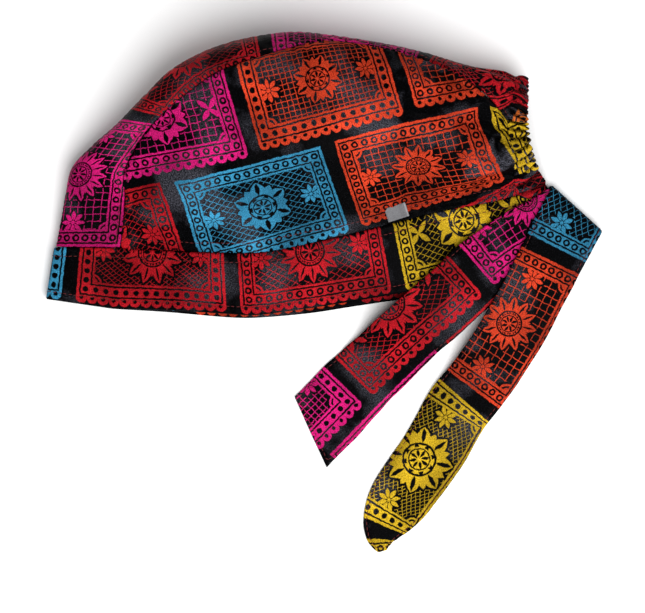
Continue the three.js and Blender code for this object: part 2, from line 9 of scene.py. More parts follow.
import bpy
import numpy as np
from bpy.props import FloatProperty, FloatVectorProperty, IntProperty, PointerProperty
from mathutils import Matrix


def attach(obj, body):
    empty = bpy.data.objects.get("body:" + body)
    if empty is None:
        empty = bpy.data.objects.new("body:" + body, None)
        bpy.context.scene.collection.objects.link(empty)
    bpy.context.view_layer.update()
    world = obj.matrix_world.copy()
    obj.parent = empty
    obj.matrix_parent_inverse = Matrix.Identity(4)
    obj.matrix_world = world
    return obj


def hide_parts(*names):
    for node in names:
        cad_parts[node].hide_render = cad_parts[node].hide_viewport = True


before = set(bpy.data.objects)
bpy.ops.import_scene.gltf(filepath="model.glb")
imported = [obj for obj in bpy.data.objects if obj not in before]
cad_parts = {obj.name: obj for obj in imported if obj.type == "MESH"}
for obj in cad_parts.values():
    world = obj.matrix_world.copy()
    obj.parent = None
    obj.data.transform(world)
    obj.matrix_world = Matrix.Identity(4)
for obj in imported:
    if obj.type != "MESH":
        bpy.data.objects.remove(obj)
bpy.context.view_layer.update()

bl_info = {
    "name": "Scrub cap",
    "version": (1, 0, 0),
    "blender": (4, 5, 0),
    "location": "3D View > Sidebar > Scrub cap",
    "description": "Builds the cloth, print and stitching of a scrub cap that lies on its side",
    "category": "Object",
}

MM = 0.001

# Gap at the crown's seams, heights of the middles of the cloths that lie on the surface, and the least
# height of any point
SEAM_GAP = 0.4
FLOOR_CLOTH_Z = 0.6
FLOOR_BAND_Z = 0.9
FLOOR_TIE_Z = 0.8
LOWEST = 0.02

# Centre strip: its hidden half from the rim round to the lower seam, narrower at the casing
HALF_STRIP = 34.0
HALF_STRIP_AT_CASING = 25.0
STRIP_TAPER_FROM = 10.0

# How square the crown's shoulders are, and how far the lower one reaches for its height
SHOULDER_POWER = 2.8
FAR_SHOULDER_REACH = 0.9
# Where the side panels and the strip begin, and how much their stations crowd towards the casing
PANEL_CORNER = 0.35
STRIP_CORNER = 0.03
STATION_CROWDING = 1.5

# Thickness of the casing at its edges and in its middle
CASING_EDGE = 1.6
CASING_MIDDLE = 3.0

TAB = {"x": 54.0, "y": 54.6, "length": 12.0, "height": 8.0, "turn": 0.31, "rise": 2.0}


def table(columns, rows):
    """A table of numbers as one array for each named column."""
    values = np.array([row.split() for row in rows.strip().splitlines()], float)
    return {name: values[:, k] for k, name in enumerate(columns.split())}


# Crown stations from the brow (0) to the casing (16), as in the solids
STATIONS = table("rimX rimY seamX seamY bandX farX rimZ topZ peak", """
    -137.4   35.3  -101.0   34.6  -101   -101   6  12  0.99
    -134.5   50.0   -99.0   50.0   -89    -89   7  15   0.8
    -131.3   65.0   -98.3   63.0   -79    -79   8  19  0.66
    -127.0   79.5   -98.6   76.5   -70    -70  10  24   0.6
    -115.5   92.0   -93.0   89.0   -61    -61  12  31  0.55
    -101.9  104.2   -84.0  102.0   -52    -52  15  39  0.51
     -86.5  120.0   -71.7  114.0   -42    -42  18  47  0.48
     -72.0  134.0   -60.0  123.0   -33    -33  21  53  0.46
     -53.8  144.1   -46.6  132.2   -22    -22  24  59  0.45
     -31.0  151.2   -28.0  139.3    -9     -9  27  63  0.44
      -5.6  155.3    -5.0  146.0     6      6  29  66  0.44
      16.8  153.4    17.0  149.8    22     22  29  66  0.44
      45.0  148.8    44.0  146.0    42     41  28  63  0.44
      70.0  143.0    68.0  139.5    62     59  26  58  0.45
      93.0  136.2    88.0  130.5    82     77  23  51  0.46
     109.0  133.0   104.0  119.8   101     95  20  43  0.48
     121.0  130.3   115.8  105.5   122  113.6  17  34   0.5
""")
STATIONS["index"] = np.arange(len(STATIONS["rimX"]), dtype=float)
LAST_STATION = STATIONS["index"][-1]

# Upper and lower edges of the brow band: y and z of its upper layer, farY of the layer below
BAND_TOP = table("x y z farY", """
    -101.0  34.6  12.0  34.6
     -75.0  33.0  17.0  33.0
     -50.0  32.0  22.5  32.0
     -23.0  31.8  27.5  31.8
       0.0  35.9  30.5  35.5
      21.3  40.5  31.0  39.5
      49.3  47.6  26.5  45.0
      80.6  55.6  16.0  49.0
     107.5  60.6   8.0  53.0
     122.6  64.4   4.8  57.0
     139.4  69.4   3.4  62.0
""")
BAND_BOTTOM = table("x y z farY", """
    -105.0   1.0  10.0   0.6
     -75.0   0.0  14.0  -1.2
     -39.8  -2.2  19.5  -4.2
     -24.6  -2.8  21.5  -4.4
       5.6   1.1  24.5  -1.8
      29.0   4.8  24.5   1.8
      58.2   9.9  17.5   6.2
      80.0  14.8  11.0   9.6
     100.0  20.0   7.4  13.2
     126.9  26.4   4.4  20.0
     146.0  31.0   3.4  25.0
""")
BROW_FOLD = {"topX": -137.4, "topY": 35.3, "bottomX": -142.0, "bottomY": 6.0, "z": 6.0, "farReach": 6.0}
NEAR_BAND_END = {"topX": 132.6, "bottomX": 145.4}
FAR_BAND_END = {"topX": 114.3, "bottomX": 126.9}

# Back edge of the casing. At runs down from the rim to the band.
CASING_BACK = table("at x y farX farY z", """
     0.0  127.9  130.0  127.9  130.0    17
    0.25  127.3  113.0  126.5  110.0    30
     0.5  127.8   98.0  126.5   94.0  31.5
    0.75  131.6   84.0  128.5   78.0    21
     1.0  138.6   70.2  131.0   66.0     5
""")

TIE_COLUMNS = "x y z half lean"
LEFT_TIE = {
    "half": 18.3,
    "fold": {"x": 146.2, "y": 50.9, "direction": -64.9, "radius": 1.35},
    "lower_z": 3.4,
    "start": -7.0,
    "start_turn": 0.0,
    "end_slant": -0.39,
    "trim": 14.4,
    "print": (30.0, 12.0),
    "out": table(TIE_COLUMNS, """
        146.2   50.9   6.1  18.3      0
        136.8   45.3   7.4  18.3      0
        122.0   37.2   9.6  18.3  -0.05
        108.5   28.0  12.2  18.4   -0.1
         96.0   17.6  14.8  18.5  -0.14
         82.0    4.6  16.2  18.4   -0.2
         66.6   -8.8  13.4  18.6   -0.2
         48.6  -26.0   4.4  19.0  -0.05
         36.0  -38.2   0.8  19.5      0
         20.0  -54.4   0.8  20.2      0
          5.8  -68.8   0.8  20.4      0
         -4.2  -79.2   0.8  20.4      0
    """),
}
RIGHT_TIE = {
    "half": 18.5,
    "fold": {"x": 153.6, "y": 53.3, "direction": -42.2, "radius": 3.75},
    "lower_z": 0.8,
    "start": -34.5,
    "start_turn": -15.0,
    "end_slant": 0.0,
    "trim": 0.0,
    "print": (14.0, 92.0),
    "out": table(TIE_COLUMNS, """
        153.6    53.3   8.3  18.5      0
        148.7    44.6   9.4  18.5  -0.02
        136.6    20.8  12.2  17.8  -0.08
        121.8    -7.0  12.6  18.0  -0.14
        106.8   -31.2   7.2  18.0  -0.05
         97.6   -43.8   3.8  18.2      0
         88.1   -55.8   1.6  18.4      0
         75.4   -78.2   0.8  18.5      0
         59.2  -101.2   0.8  18.0      0
         51.8  -112.2   0.8  16.4      0
         47.0  -121.5   0.8  12.8      0
         45.3  -128.3   0.8   9.2      0
         45.5  -133.0   0.8   5.8      0
         46.4  -136.6   0.8   2.4      0
    """),
}
for tie in (LEFT_TIE, RIGHT_TIE):
    steps = np.hypot(np.diff(tie["out"]["x"]), np.diff(tie["out"]["y"]))
    tie["out"]["along"] = np.concatenate([[0], np.cumsum(steps)])

# Folds in the crown: a ridge (height above 0) or a dent along a line that bows aside in its middle.
# A sharp fold has a creased crest, and a soft one is round.
FOLDS = table("x y toX toY bow width height sharp", """
    121     88    78     74    3   4.5   3.0  0.3
    118     99    84    104   -4   4.0  -2.2  0.0
    122     78    92     64    2   4.0  -2.0  0.2
    112    112    92    128    2   3.4   1.8  0.5
    106    118    60    110    5   6.0   1.7  0.2
    -30  103.6    84  102.6  0.8  13.0   2.0  1.0
     71    104    73     86  0.3   5.0   0.8  1.0
    -52   61.6   -20   62.6  0.3   7.0   0.9  1.0
    -36    145   -30    112  1.0   4.0   0.7  0.8
    -66     92   -58     60  2.0   8.0   1.2  0.4
     14    128    60     92  5.0   9.0   1.4  0.4
    -99     70  -122     66    2   7.0  -2.0  0.0
    -97     58   -66     40    4   6.0   1.8  0.3
    -92     92   -52     70   -5   8.0   1.7  0.2
    -80    106   -30     96    6   7.0  -1.3  0.0
    -20     36    22     66   -6   8.0  -1.8  0.0
    -60     38   -34     62    5   6.0   1.4  0.3
     30    140    62    122   -4   6.0  -1.4  0.0
    -40    128    -6    112    4   6.0   1.1  0.2
     58     52    82     84    6   6.5  -1.5  0.1
""")
# The pinch beside the casing: a deep dent with a swollen ring round it
PINCH = {"x": 111.5, "y": 90.7, "wide": 3.0, "high": 4.2, "depth": 3.4, "ring": 1.5}


# Sizes and looks that a user would change


def size(name, about, default, digits=4):
    """A setting in metres."""
    return FloatProperty(name=name, description=about, default=default, unit="LENGTH", precision=digits)


def colour(name, about, default):
    """A setting for a colour."""
    return FloatVectorProperty(
        name=name, description=about, default=default, subtype="COLOR", min=0, max=1
    )


def power(name, about, default):
    """A setting for a lamp's strength."""
    return FloatProperty(name=name, description=about, default=default, unit="POWER")


class CapClothSizes(bpy.types.PropertyGroup):
    """Cloth of the cap"""

    wall: size("Cloth", "Thickness of one layer", 0.0007)
    band_wall: size("Band", "Thickness of the doubled band", 0.0017)
    tie_wall: size("Ties", "Thickness of the doubled ties", 0.0015)
    pleat_pitch: size("Pleats", "Pleat to pleat on the casing", 0.0034)
    pleat_height: size("Pleat height", "Height of the casing's pleats", 0.0016)
    pucker_reach: size("Pucker reach", "How far the gathers run into the crown", 0.016)
    slack: FloatProperty(
        name="Slack", description="Extra cloth that lies in small folds", default=0.018, subtype="FACTOR"
    )
    seed: IntProperty(name="Seed", description="Start of the small folds", default=5)


class CapPrintLook(bpy.types.PropertyGroup):
    """Print of the cloth"""

    tile_width: size("Tile width", "Width of one printed tile", 0.084)
    tile_height: size("Tile height", "Height of one printed tile", 0.056)
    tile_gap: size("Gap", "Bare ground between the tiles", 0.008)
    seed: IntProperty(name="Seed", description="Which tile has which ink and motif", default=4)
    ground: colour("Ground", "Colour of the bare cloth", (0.0006, 0.0006, 0.0008))
    orange_red: colour("Orange red", "Ink", (0.50, 0.040, 0.014))
    orange: colour("Orange", "Ink", (0.56, 0.125, 0.020))
    crimson: colour("Crimson", "Ink", (0.38, 0.008, 0.014))
    magenta: colour("Magenta", "Ink", (0.55, 0.010, 0.150))
    yellow: colour("Yellow", "Ink", (0.50, 0.32, 0.013))
    blue: colour("Blue", "Ink", (0.032, 0.21, 0.36))


class CapStitchSizes(bpy.types.PropertyGroup):
    """Stitching of the cap"""

    pitch: size("Pitch", "Stitch to stitch", 0.0030)
    length: size("Length", "Length of a stitch", 0.0025)
    thread: size("Thread", "Thickness of the thread", 0.00050, 5)
    thread_colour: colour("Colour", "Thread colour", (0.09, 0.012, 0.012))


class CapStageLook(bpy.types.PropertyGroup):
    """Floor, lights and camera"""

    floor: colour("Floor", "Floor colour", (0.93, 0.93, 0.93))
    key_power: power("Key light", "Strength of the key light", 38.5)
    fill_power: power("Fill light", "Strength of the fill light", 4.0)
    sky: FloatProperty(name="Sky", description="Strength of the light all round", default=0.28)
    lens: FloatProperty(name="Lens", description="Focal length in millimetres", default=400.0)


# Lines, grids and smooth values


def curve(rows, by, column, at):
    """Cubic curve through a table's rows, held at its end values."""
    x, y = rows[by], rows[column]
    last = len(x) - 1
    place = np.arange(last + 1)
    before, after = np.maximum(place - 1, 0), np.minimum(place + 1, last)
    slopes = (y[after] - y[before]) / (x[after] - x[before])
    k = np.clip(np.searchsorted(x, at, side="left") - 1, 0, last - 1)
    span = x[k + 1] - x[k]
    t = np.clip((at - x[k]) / span, 0, 1)
    rise = (t**3 - 2 * t**2 + t) * slopes[k] * span
    fall = (t**3 - t**2) * slopes[k + 1] * span
    return (2 * t**3 - 3 * t**2 + 1) * y[k] + rise + (3 * t**2 - 2 * t**3) * y[k + 1] + fall


def unit(vectors):
    """Vectors of length 1."""
    return vectors / np.maximum(np.linalg.norm(vectors, axis=-1, keepdims=True), 1e-9)


def way(degrees):
    """The direction of an angle in the plane."""
    a = math.radians(degrees)
    return np.array([math.cos(a), math.sin(a)])


def left_of(v):
    """Directions turned a quarter to the left."""
    return np.stack([-v[..., 1], v[..., 0]], axis=-1)


def smooth(low, high, values):
    """A smooth step from 0 at low to 1 at high."""
    t = np.clip((np.asarray(values, float) - low) / (high - low), 0, 1)
    return t * t * (3 - 2 * t)


def crowded(count, share):
    """Steps from 0 to 1, closer together at both ends by a share."""
    t = np.linspace(0, 1, count + 1)
    return (1 - share) * t + share * (1 - np.cos(np.pi * t)) / 2


def soft_noise(shape, reach, seed):
    """Seeded noise from -1 to 1 whose lumps reach over a number of grid steps each way."""
    field = np.random.default_rng(seed).normal(size=shape)
    rates = [np.fft.fftfreq(size) * span for size, span in zip(shape, reach)]
    blur = np.exp(-2 * np.pi**2 * (rates[0][:, None] ** 2 + rates[1][None, :] ** 2))
    field = np.fft.ifft2(np.fft.fft2(field) * blur).real
    return field / np.abs(field).max()


def distances(grid, axis):
    """Distance of each point from the first one of its line, for the lines along an axis of a grid."""
    steps = np.linalg.norm(np.diff(grid, axis=axis), axis=-1)
    start = np.zeros_like(steps.take([0], axis))
    return np.concatenate([start, np.cumsum(steps, axis=axis)], axis=axis)


class Line:
    """A line of points that is read by the distance along it."""

    def __init__(self, points):
        self.points = np.asarray(points, float)
        self.distances = distances(self.points, 0)
        self.length = self.distances[-1]

    def at(self, runs):
        return np.stack([np.interp(runs, self.distances, c) for c in self.points.T], axis=-1)


class Cloth:
    """A grid of points on the middle of a cloth, with each point's place in the flat cut."""

    def __init__(self, grid, flat, facing=1):
        self.grid = grid
        self.flat = flat
        self.facing = facing
        self.raised = np.zeros(grid.shape[:2])
        self.own = slice(0, grid.shape[1])

    def outward(self):
        along, across = np.gradient(self.grid, axis=0), np.gradient(self.grid, axis=1)
        return self.facing * unit(np.cross(along, across))

    def lift(self, heights):
        self.grid = self.grid + self.outward() * heights[..., None]
        self.raised = self.raised + heights

    def measure_raised(self, design):
        """How far each point stands out from its place in the design."""
        out = Cloth(design, self.flat, self.facing).outward()
        self.raised = ((self.grid - design) * out).sum(-1)

    def turn_in(self, side, radius, depth):
        """Adds columns that roll an edge inwards and down, as a seam allowance turns in."""
        edge, beside = (0, 1) if side == "first" else (-1, -2)
        start, up = self.grid[:, edge], self.outward()[:, edge]
        away = unit(start - self.grid[:, beside])
        step = self.flat[:, edge] - self.flat[:, beside]
        on = step / np.linalg.norm(step, axis=-1, keepdims=True)
        points, flats = [], []
        for degrees in (20, 42, 64, 90):
            a = math.radians(degrees)
            points.append(start + radius * (math.sin(a) * away - (1 - math.cos(a)) * up))
            flats.append(self.flat[:, edge] + on * radius * a)
        points.append(points[-1] - depth * up)
        flats.append(flats[-1] + on * depth)
        if side == "first":
            points.reverse()
            flats.reverse()
            self.own = slice(self.own.start + len(points), self.own.stop + len(points))
        added, added_flat = np.stack(points, axis=1), np.stack(flats, axis=1)
        still = np.zeros(added.shape[:2])
        order = (0, 1) if side == "last" else (1, 0)
        pair = lambda own, new: np.concatenate([(own, new)[k] for k in order], axis=1)
        self.grid = pair(self.grid, added)
        self.flat = pair(self.flat, added_flat)
        self.raised = pair(self.raised, still)


# Small folds: a cloth a little larger than its place buckles until its threads keep their length

# How stiffly each round brings back the threads, the squares between them and bends, and how strongly
# it draws the cloth home to its design
THREAD_STIFFNESS = 0.9
SHEAR_STIFFNESS = 0.45
BEND_STIFFNESS = 0.10
HOME_PULL = 0.0015


def pull(points, weight, axis, lag, rest, stiffness):
    """Moves each pair of points that are lag apart along an axis towards its rest length."""
    points, weight, rest = (np.swapaxes(a, 0, axis) for a in (points, weight, rest))
    for start in range(2 * lag):
        first = slice(start, len(points) - lag, 2 * lag)
        second = slice(start + lag, None, 2 * lag)
        if start + lag >= len(points):
            break
        pull_pair(points, weight, (first,), (second,), rest[first], stiffness)


def pull_pair(points, weight, first, second, rest, stiffness):
    """One set of pairs, none of which share a point."""
    a, b, wa, wb = points[first], points[second], weight[first], weight[second]
    gap = b - a
    length = np.sqrt((gap * gap).sum(-1, keepdims=True)) + 1e-9
    share = stiffness * (1 - rest[..., None] / length) / np.maximum(wa + wb, 1e-9)
    points[first] = a + gap * (share * wa)
    points[second] = b - gap * (share * wb)


def shear(points, weight, rests, stiffness):
    """Moves the pairs across each square of the grid towards their rest lengths."""
    ends = (slice(0, -1), slice(1, None))
    for rest, (near, past) in zip(rests, (ends, ends[::-1])):
        for start in (0, 1):
            stop = len(points) - 1
            first = (slice(start, stop, 2), near)
            second = (slice(start + 1, None, 2), past)
            pull_pair(points, weight, first, second, rest[start::2], stiffness)


def edges_held(grid, last):
    """The points that stay where they are: a grid's edges, and its columns from the last one on."""
    held = np.zeros(grid.shape[:2], bool)
    held[[0, -1]] = True
    held[:, 0] = True
    held[:, last:] = True
    return held


def settle(design, slack_along, slack_across, held, rounds):
    """Relaxes a grid near its design, with threads longer by the slack."""
    points = design.copy()
    weight = np.where(held, 0.0, 1.0)[..., None]
    along, across = np.diff(design, axis=0), np.diff(design, axis=1)
    long_along = along * (1 + (slack_along[1:] + slack_along[:-1])[..., None] / 2)
    long_across = across * (1 + (slack_across[:, 1:] + slack_across[:, :-1])[..., None] / 2)
    rest_along, rest_across = (np.linalg.norm(v, axis=-1) for v in (long_along, long_across))
    corner = [long_along[:, :-1] + long_across[1:], long_along[:, 1:] - long_across[1:]]
    rests = [np.linalg.norm(v, axis=-1) for v in corner]
    bend_along = np.linalg.norm(long_along[1:] + long_along[:-1], axis=-1)
    bend_across = np.linalg.norm(long_across[:, 1:] + long_across[:, :-1], axis=-1)
    for _ in range(rounds):
        pull(points, weight, 0, 1, rest_along, THREAD_STIFFNESS)
        pull(points, weight, 1, 1, rest_across, THREAD_STIFFNESS)
        shear(points, weight, rests, SHEAR_STIFFNESS)
        pull(points, weight, 0, 2, bend_along, BEND_STIFFNESS)
        pull(points, weight, 1, 2, bend_across, BEND_STIFFNESS)
        points += (design - points) * HOME_PULL * weight
    return points


# Sections of the crown


def superellipse(u):
    """A rise from 0 to 1 that starts upright and ends level."""
    return (1 - (1 - u) ** SHOULDER_POWER) ** (1 / SHOULDER_POWER)


def shoulder_steps(reach, count):
    """Distances from a rim whose wall stands upright there, close together at first."""
    return reach * np.linspace(0, 1, count + 1) ** SHOULDER_POWER


def half_section(s, far):
    """One side of a crown section, from the rim over the seam to the band."""
    read = lambda column: float(curve(STATIONS, "index", column, s))
    side = "farY" if far else "y"
    rim = np.array([read("rimX"), read("rimY")])
    seam = np.array([read("seamX"), read("seamY")])
    foot_x = read("farX" if far else "bandX")
    foot = np.array([foot_x, float(curve(BAND_TOP, "x", side, foot_x))])
    to_seam = np.linalg.norm(rim - seam)
    to_foot = to_seam + max(np.linalg.norm(seam - foot), 1e-3)
    rim_z, top_z, peak = read("rimZ"), read("topZ"), read("peak") * to_foot
    foot_z = FLOOR_CLOTH_Z if far else float(curve(BAND_TOP, "x", "z", foot_x))
    reach = FAR_SHOULDER_REACH * rim_z if far else peak
    runs = np.concatenate([
        shoulder_steps(reach, 40),
        np.linspace(reach, to_foot, 41)[1:],
        [to_seam],
    ])
    runs.sort()
    if far:
        height = rim_z - (rim_z - FLOOR_CLOTH_Z) * superellipse(np.minimum(runs / reach, 1))
    else:
        t = np.clip((runs - peak) / (to_foot - peak), 0, 1)
        climb = rim_z + (top_z - rim_z) * superellipse(np.minimum(runs / peak, 1))
        height = np.where(runs < peak, climb, top_z + (foot_z - top_z) * t * t * (2.2 - 1.2 * t))
    up = np.clip(runs / to_seam, 0, 1)[:, None]
    down = np.clip((runs - to_seam) / (to_foot - to_seam), 0, 1)[:, None]
    plan = np.where(runs[:, None] < to_seam, rim + (seam - rim) * up, seam + (foot - seam) * down)
    line = Line(np.column_stack([plan, height]))
    line.seam_at = line.distances[np.searchsorted(runs, to_seam)]
    ahead = np.array([
        float(curve(STATIONS, "index", c, s + 0.1) - curve(STATIONS, "index", c, s - 0.1))
        for c in ("seamX", "seamY")
    ])
    to_band = (foot - seam) / max(np.linalg.norm(foot - seam), 1e-9)
    crossing = max(abs(to_band[0] * ahead[1] - to_band[1] * ahead[0]) / np.linalg.norm(ahead), 0.35)
    line.panel_from = line.seam_at + SEAM_GAP / 2 / crossing
    line.foot, line.way = foot, unit(rim - foot if far else seam - foot)
    return line


def far_seam_at(s):
    """Distance from the rim to the strip's lower seam."""
    share = smooth(STRIP_TAPER_FROM, LAST_STATION, s)
    return HALF_STRIP + (HALF_STRIP_AT_CASING - HALF_STRIP) * share


def crown_stations(start, count):
    """Stations from the brow, closer together towards the casing."""
    t = np.linspace(0, 1, count + 1)
    return start + (LAST_STATION - start) * (1 - (1 - t) ** STATION_CROWDING)


def from_casing(grid):
    """Distance of each grid point from the casing, along its own line of stations."""
    return distances(grid[::-1], 0)[::-1]


def fold_lift(grid):
    """Height of the folds and of the pinch at each grid point."""
    lift = np.zeros(grid.shape[:2])
    for x, y, to_x, to_y, bow, width, height, sharp in zip(*FOLDS.values()):
        start = np.array([x, y])
        run = np.array([to_x, to_y]) - start
        offset = grid[..., :2] - start
        along = offset @ run / (run @ run)
        t = np.clip(along, 0, 1)
        bowed = left_of(unit(run)) * (bow * np.sin(np.pi * t))[..., None]
        away = np.linalg.norm(offset - t[..., None] * run - bowed, axis=-1) / width
        round_crest, creased = np.exp(-away * away), np.exp(-1.6 * away)
        painted_fold_shade_and_light = round_crest + (creased - round_crest) * sharp
        lift += height * np.sin(np.pi * (0.12 + 0.88 * t)) * painted_fold_shade_and_light
    dx = (grid[..., 0] - PINCH["x"]) / PINCH["wide"]
    dy = (grid[..., 1] - PINCH["y"]) / PINCH["high"]
    out = np.hypot(dx, dy)
    return lift - PINCH["depth"] * np.exp(-out**2) + PINCH["ring"] * np.exp(-((out - 1.9) / 0.6) ** 2)


def ripple(along, pitch, drift, over, phase=0):
    """Uneven waves, as a row of stitches draws them into the cloth."""
    return np.sin(along * 2 * np.pi / pitch + drift * np.sin(along / over) + phase)


def seam_pucker(along, from_seam):
    """Small puckers that a row of stitches draws into the cloth beside a seam."""
    wave = ripple(along, 6.7, 3.5, 9.0)
    strength = 0.5 + 0.5 * np.sin(along / 13.0 + 2 * np.sin(along / 29.0))
    return 0.26 * wave * strength * np.exp(-from_seam / 3.5)


def pleat_count(run, pitch, twist=0.0):
    """Unevenly spaced pleats counted along a run: a ridge at each whole number, a valley between."""
    return run / pitch + 0.28 * np.sin(run / 4.9 + 1) + 0.2 * np.sin(run / 2.1 + 2.2) + twist


def pleats(run, pitch, twist=0.0, power=0.7):
    """Gathered ridges with sharp valleys, from about -0.6 to 0.4."""
    return np.abs(np.cos(np.pi * pleat_count(run, pitch, twist))) ** power - 0.6


def gather_lift(run, distance, sizes):
    """Puckers beside the casing: fine at its edge, joining into wider ones further away."""
    height, pitch, reach = (v / MM for v in (sizes.pleat_height, sizes.pleat_pitch, sizes.pucker_reach))
    fine = 0.42 * height * pleats(run, pitch) * np.exp(-distance / (0.3 * reach))
    middle = 1.1 * height * pleats(run, 2.3 * pitch, 0.3) * np.exp(-distance / (0.8 * reach))
    wide = 1.2 * height * pleats(run, 4.9 * pitch, 0.6) * np.exp(-distance / (1.9 * reach))
    edge = smooth(0, 0.5 * reach, distance)
    return fine + edge * (middle + wide)


# Meshes


TAB_POINTS = np.array([v.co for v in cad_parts["side_tab"].data.vertices])
TAB_MIDDLE = np.unique(np.round(TAB_POINTS, 6), axis=0).mean(0)
SHIFT = np.array([TAB_MIDDLE[0] - TAB["x"] * MM, TAB_MIDDLE[1] - TAB["y"] * MM, 0.0])


def new_object(name, points, faces):
    """A mesh object of points in millimetres and faces of four corners."""
    mesh = bpy.data.meshes.new(name)
    mesh.vertices.add(len(points))
    mesh.vertices.foreach_set("co", (points * MM + SHIFT).astype(np.float32).ravel())
    mesh.loops.add(faces.size)
    mesh.loops.foreach_set("vertex_index", faces.astype(np.int32).ravel())
    mesh.polygons.add(len(faces))
    mesh.polygons.foreach_set("loop_start", np.arange(len(faces), dtype=np.int32) * 4)
    mesh.polygons.foreach_set("use_smooth", np.full(len(faces), True))
    mesh.update(calc_edges=True)
    mesh.validate()
    obj = bpy.data.objects.new(name, mesh)
    bpy.context.scene.collection.objects.link(obj)
    return obj


def add_flat_map(obj, flat, raised):
    """Keeps each point's place in the flat cut as a UV map in metres, and how raised it is."""
    mesh = obj.data
    corners = np.zeros(len(mesh.loops), np.int32)
    mesh.loops.foreach_get("vertex_index", corners)
    layer = mesh.uv_layers.new(name="flat_cloth")
    layer.data.foreach_set("uv", (flat[corners] * MM).astype(np.float32).ravel())
    attribute = mesh.attributes.new("raised", "FLOAT", "POINT")
    attribute.data.foreach_set("value", raised.astype(np.float32))


def grid_faces(rows, columns, closed=False):
    """Faces between neighbouring grid points, round the last column to the first if closed."""
    index = np.arange(rows * columns).reshape(rows, columns)
    if closed:
        index = np.concatenate([index, index[:, :1]], axis=1)
    corners = [index[:-1, :-1], index[1:, :-1], index[1:, 1:], index[:-1, 1:]]
    return np.stack(corners, axis=-1).reshape(-1, 4)


def shell(name, cloth, wall, finishes):
    """A closed cloth wall round a grid. The first finish is the printed side's, the second the inside's."""
    rows, columns = cloth.grid.shape[:2]
    count = rows * columns
    half = np.broadcast_to(np.asarray(wall, float) / 2, (rows, columns))[..., None]
    out = cloth.outward()
    sides = [cloth.grid + out * half, cloth.grid - out * half]
    points = np.concatenate([side.reshape(-1, 3) for side in sides])
    points[:, 2] = np.maximum(points[:, 2], LOWEST)
    index = np.arange(count).reshape(rows, columns)
    faces = [grid_faces(rows, columns), grid_faces(rows, columns)[:, ::-1] + count]
    rims = [index[0, ::-1], index[:, 0], index[-1], index[::-1, -1]]
    for rim in rims:
        a, b = rim[:-1], rim[1:]
        faces.append(np.stack([b, a, a + count, b + count], axis=-1))
    kinds = np.concatenate([np.full(len(f), k == 1) for k, f in enumerate(faces)])
    faces = np.concatenate(faces)
    if cloth.facing < 0:
        faces = faces[:, ::-1]
    obj = new_object(name, points, faces)
    add_flat_map(
        obj, np.tile(cloth.flat.reshape(-1, 2), (2, 1)), np.tile(cloth.raised.ravel(), 2)
    )
    for finish in finishes:
        obj.data.materials.append(finish)
    if len(finishes) > 1:
        obj.data.polygons.foreach_set("material_index", kinds.astype(np.int32))
    return obj


def join_frame(obj, nodes):
    """The piece hangs under the root body and stands for its solids, which are hidden."""
    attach(obj, "root")
    if nodes:
        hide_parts(*nodes)


# Cloth of the crown

PANEL_ROWS, PANEL_COLUMNS = 210, 136
SEAM_ROLL = 0.7
SEAM_START = 0.95
SEAM_DEPTH = 2.5
GRAIN_TURN = math.radians(17.0)
PANEL_STOP = 1.2
PANEL_CORNER_ROWS = (0.14, 0.19, 0.24, 0.295)
CALM_WIDTH = 42.0
LEFT_PRINT = (8.0, 31.0)
RIGHT_PRINT = (50.0, 12.0)
STRIP_PRINT = (4.0, 22.0)
GATHER = 1.6
PANEL_ROUNDS, STRIP_ROUNDS = 700, 500


def grain(flat, turn, offset):
    """Turns and moves a flat cut so that the print's rows lie as they do on the cloth."""
    c, s = math.cos(turn), math.sin(turn)
    x, y = flat[..., 0], flat[..., 1]
    return np.stack([x * c + y * s + offset[0], y * c - x * s + offset[1]], axis=-1)


def panel_runs(line, first, columns):
    """Distances from the rim of a panel's columns, from its upper seam to the band."""
    return first + (line.length - PANEL_STOP - first) * crowded(columns, 0.35)


def panel_cut(line, runs):
    """Places in the flat cut of a side panel, laid out from its edge at the band."""
    return line.foot + line.way * (line.length - runs)[..., None]


def panel_grid(stations, columns, far, start):
    """Points and flat cut of a side panel, from its seam with the strip to the band."""
    grid, flat = [], []
    for s in stations:
        line = half_section(s, far)
        runs = panel_runs(line, start(s, line), columns)
        grid.append(line.at(runs))
        flat.append(panel_cut(line, runs))
    return np.array(grid), np.array(flat)


def spread_cut(flat, middle, away):
    """The flat cut of gathered cloth: longer along the casing than the place that it fills."""
    return middle + (flat - middle) * (1 + (GATHER - 1) * np.exp(-away / 8.0))[..., None]


def panel_start(s, line):
    return line.panel_from + SEAM_START


def add_brow_corner(cloth):
    """Carries the upper side panel on from its first station into its narrow corner at the brow."""
    grid, flat = panel_grid(PANEL_CORNER_ROWS, PANEL_COLUMNS, False, panel_start)
    from_edge = np.minimum(
        np.linalg.norm(grid - grid[:, :1], axis=-1), np.linalg.norm(grid - grid[:, -1:], axis=-1)
    )
    corner = Cloth(grid, grain(flat, GRAIN_TURN, LEFT_PRINT), cloth.facing)
    corner.lift(smooth(0, 3.0, from_edge) * fold_lift(grid))
    corner.from_band = np.linalg.norm(flat - flat[:, -1:], axis=-1)
    for field in ("grid", "flat", "raised", "from_band"):
        setattr(cloth, field, np.concatenate([getattr(corner, field), getattr(cloth, field)]))


